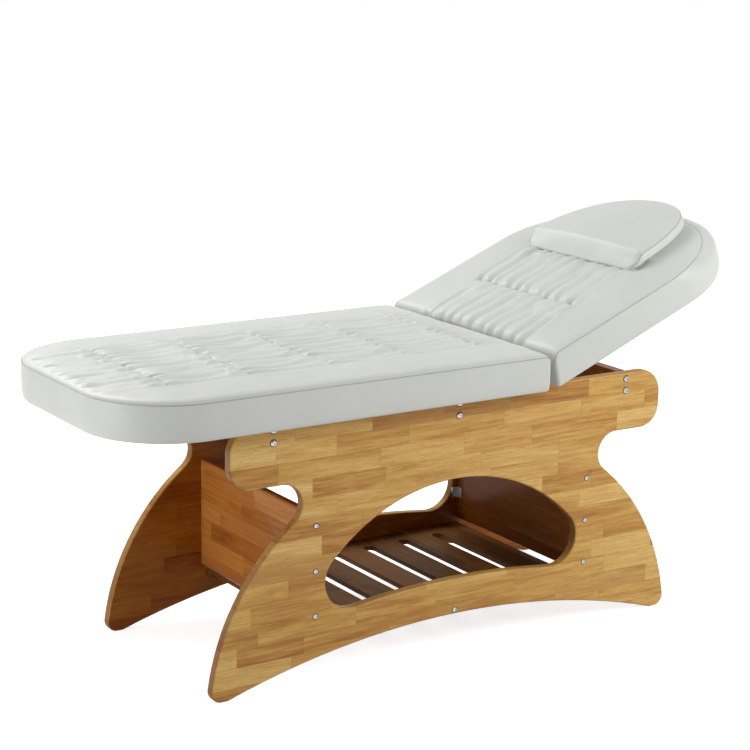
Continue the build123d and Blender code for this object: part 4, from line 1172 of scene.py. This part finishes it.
def dress_nodes():
    """Give every carried-over node its material."""
    near = strip_wood("wood_near_panel", X, Z, PANEL_STRIP, PANEL_BLOCK, 1.0, GOLDEN, edge_axis=Y,
                      inner=1.0, inner_shade=PANEL_INNER_SHADE, coat=0.14)
    far = strip_wood("wood_far_panel", X, Z, PANEL_STRIP, PANEL_BLOCK, 4.0, GOLDEN, edge_axis=Y,
                     inner=-1.0, inner_shade=PANEL_INNER_SHADE, coat=0.05)
    foot = strip_wood("wood_foot_panel", Y, Z, BOARD_STRIP, BOARD_BLOCK, 2.0, ORANGE, edge_axis=X, inner=1.0)
    head = strip_wood("wood_head_panel", Y, Z, BOARD_STRIP, BOARD_BLOCK, 6.0, ORANGE, edge_axis=X, inner=-1.0)
    rails = strip_wood("wood_rails", Y, Z, RAIL_STRIP, RAIL_BLOCK, 3.0, ORANGE, edge_axis=X)
    shelf = strip_wood("wood_shelf", Y, X, SHELF_STRIP, SHELF_BLOCK, 5.0, UMBER, coat=0.03, roughness=0.55)
    zinc = metal("zinc_steel", ZINC_STEEL, roughness=0.34)
    by_slot = {
        "plywood": plywood("plywood_boards"),
        "bolt_steel": metal("bolt_steel", BOLT_STEEL, roughness=0.24),
        "zinc_steel": zinc,
        "shaft_steel": metal("shaft_steel", SHAFT_STEEL, roughness=0.24),
        "tube_paint": coated("tube_paint", TUBE_PAINT, roughness=0.32),
        "bush_plastic": coated("bush_plastic", BUSH_PLASTIC, roughness=0.5),
    }
    by_node = {
        "side_panel_near": near, "side_panel_far": far, "end_panel_foot": foot, "end_panel_head": head,
        "cross_rail_foot": rails, "cross_rail_middle": rails, "cross_rail_head": rails,
        "shelf_board": shelf, "shelf_centre_rail": shelf, "shelf_cleats": shelf,
    }
    slots = {part["node"]: part.get("material_slot") for part in frame["record"]["subparts"]}
    for name, piece in frame["nodes"].items():
        material = by_node.get(name) or by_slot.get(slots.get(name)) or zinc
        piece.data.materials.clear()
        piece.data.materials.append(material)


def bolt_heads(node):
    """Centre and radius of each bolt head's flat top."""
    place = np.array([vertex.co for vertex in frame["nodes"][node].data.vertices])
    tops = place[np.abs(place[:, 1]) > np.abs(place[:, 1]).max() - TOP_REACH]
    heads = []
    while len(tops):
        near = np.linalg.norm(tops - tops[0], axis=1) < HEAD_REACH
        low = tops[near].min(axis=0)
        high = tops[near].max(axis=0)
        heads.append(((low + high) / 2, (high[0] - low[0]) / 2))
        tops = tops[~near]
    return heads


def bolt_painted_shadows():
    """Thin dark rings where the bolt heads meet the side panels: a painted shadow of the gap round each head."""
    # Near-black rings that paint the shadow of the gap round each bolt head
    rim = coated("bolt_painted_shadow", RIM_PAINTED_SHADOW, roughness=0.45)
    angles = np.linspace(0, math.tau, RIM_STEPS, endpoint=False)
    for node in ("rail_bolts", "end_panel_bolts", "shelf_rail_bolts"):
        rings = []
        for centre, top_radius in bolt_heads(node):
            reach = top_radius * HEAD_SHARE + RIM_RADIUS * RIM_CLEAR
            face = math.copysign(panel_low.y, centre[1])
            ring = np.column_stack([centre[0] + reach * np.cos(angles), np.full(RIM_STEPS, face),
                                    centre[2] + reach * np.sin(angles)])
            rings.append(tube_mesh(ring, RIM_RADIUS, RIM_SIDES, True))
        vertices, faces = join_meshes(rings)
        made = make_object(node[:-1] + "_painted_shadows", vertices, faces)
        made.data.materials.append(rim)
        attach(made, "base")


def dress_upholstery():
    """Build the cushions, set them in place and cover them."""
    cover = leatherette("upholstery_cover")
    # The welts take a darker copy of the leather, a painted shade of the seam's groove
    seam = leatherette("upholstery_seam_painted_shade", SEAM_PAINTED_SHADE)
    pieces = (
        (leg_section(), place_leg, "base", "leg_cushion", 0.8),
        (head_section(), place_back, "backrest", "back_cushion", 0.8),
        (pillow(), place_back, "pillow", "pillow_cushion", 0.75),
    )
    for (pad, welt), place, body, node, fill in pieces:
        for made, material in ((pad, cover), (welt, seam)):
            place(made)
            made.data.materials.append(material)
            if body == "backrest":
                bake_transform(made)
            else:
                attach(made, body)
        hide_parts(node)


# Room

def grey(level):
    """Grey colour of a level."""
    return (level, level, level, 1.0)


def white_floor():
    """Pale floor that reads white to the camera and keeps a soft shadow."""
    size = FLOOR_HALF
    corners = [(-size, -size, 0), (size, -size, 0), (size, size, 0), (-size, size, 0)]
    floor = make_object("studio_floor", corners, [(0, 1, 2, 3)], False)
    material, tree = new_material("studio_floor")
    pale = add(tree, "BsdfDiffuse", {"Color": grey(FLOOR_UNDER_BED)})
    bright = add(tree, "BsdfDiffuse", {"Color": grey(FLOOR_SEEN)})
    glow = add(tree, "Emission", {"Color": grey(FLOOR_GLOW), "Strength": 1.0})
    white = add(tree, "AddShader", {0: bright.outputs[0], 1: glow.outputs[0]})
    seen = camera_or_gloss(tree)
    both = add(tree, "MixShader", {0: seen, 1: pale.outputs[0], 2: white.outputs[0]})
    add(tree, "OutputMaterial", {0: both.outputs[0]})
    floor.data.materials.append(material)


def world_light():
    """Even sky: white to the camera, gentler as a light."""
    world = bpy.data.worlds.new("studio_world")
    bpy.context.scene.world = world
    world.use_nodes = True
    tree = world.node_tree
    tree.nodes.clear()
    light = add(tree, "Background", {"Color": grey(1.0), "Strength": SKY_LIGHT})
    white = add(tree, "Background", {"Color": grey(1.0), "Strength": SKY_SEEN})
    seen = camera_or_gloss(tree)
    both = add(tree, "MixShader", {0: seen, 1: light.outputs[0], 2: white.outputs[0]})
    add(tree, "OutputWorld", {0: both.outputs[0]})


def area_lamp(name, place, aim, size, power):
    """Soft square lamp."""
    data = bpy.data.lights.new(name, "AREA")
    data.size = size
    data.energy = power
    lamp = bpy.data.objects.new(name, data)
    lamp.location = place
    lamp.rotation_mode = "QUATERNION"
    lamp.rotation_quaternion = (Vector(aim) - Vector(place)).to_track_quat("-Z", "Y")
    bpy.context.scene.collection.objects.link(lamp)


def photo_camera():
    """Camera that stands where the photograph was taken."""
    data = bpy.data.cameras.new("photo_camera")
    data.sensor_width = SENSOR_WIDTH
    data.lens = FOCAL_PIXELS / PHOTO_SIZE * SENSOR_WIDTH
    camera = bpy.data.objects.new("photo_camera", data)
    bpy.context.scene.collection.objects.link(camera)
    ahead = Vector((math.sin(CAMERA_YAW) * math.cos(CAMERA_PITCH),
                    math.cos(CAMERA_YAW) * math.cos(CAMERA_PITCH), -math.sin(CAMERA_PITCH)))
    right = ahead.cross(Vector((0, 0, 1))).normalized()
    up = right.cross(ahead)
    turned_right = right * math.cos(CAMERA_ROLL) + up * math.sin(CAMERA_ROLL)
    turned_up = up * math.cos(CAMERA_ROLL) - right * math.sin(CAMERA_ROLL)
    camera.matrix_world = Matrix.Translation(CAMERA_PLACE) @ Matrix(
        (turned_right, turned_up, -ahead)).transposed().to_4x4()
    bpy.context.scene.camera = camera


dress_nodes()
bolt_painted_shadows()
dress_upholstery()
white_floor()
world_light()
for lamp in LAMPS:
    area_lamp(*lamp)
photo_camera()
bpy.context.scene.view_settings.view_transform = "Standard"
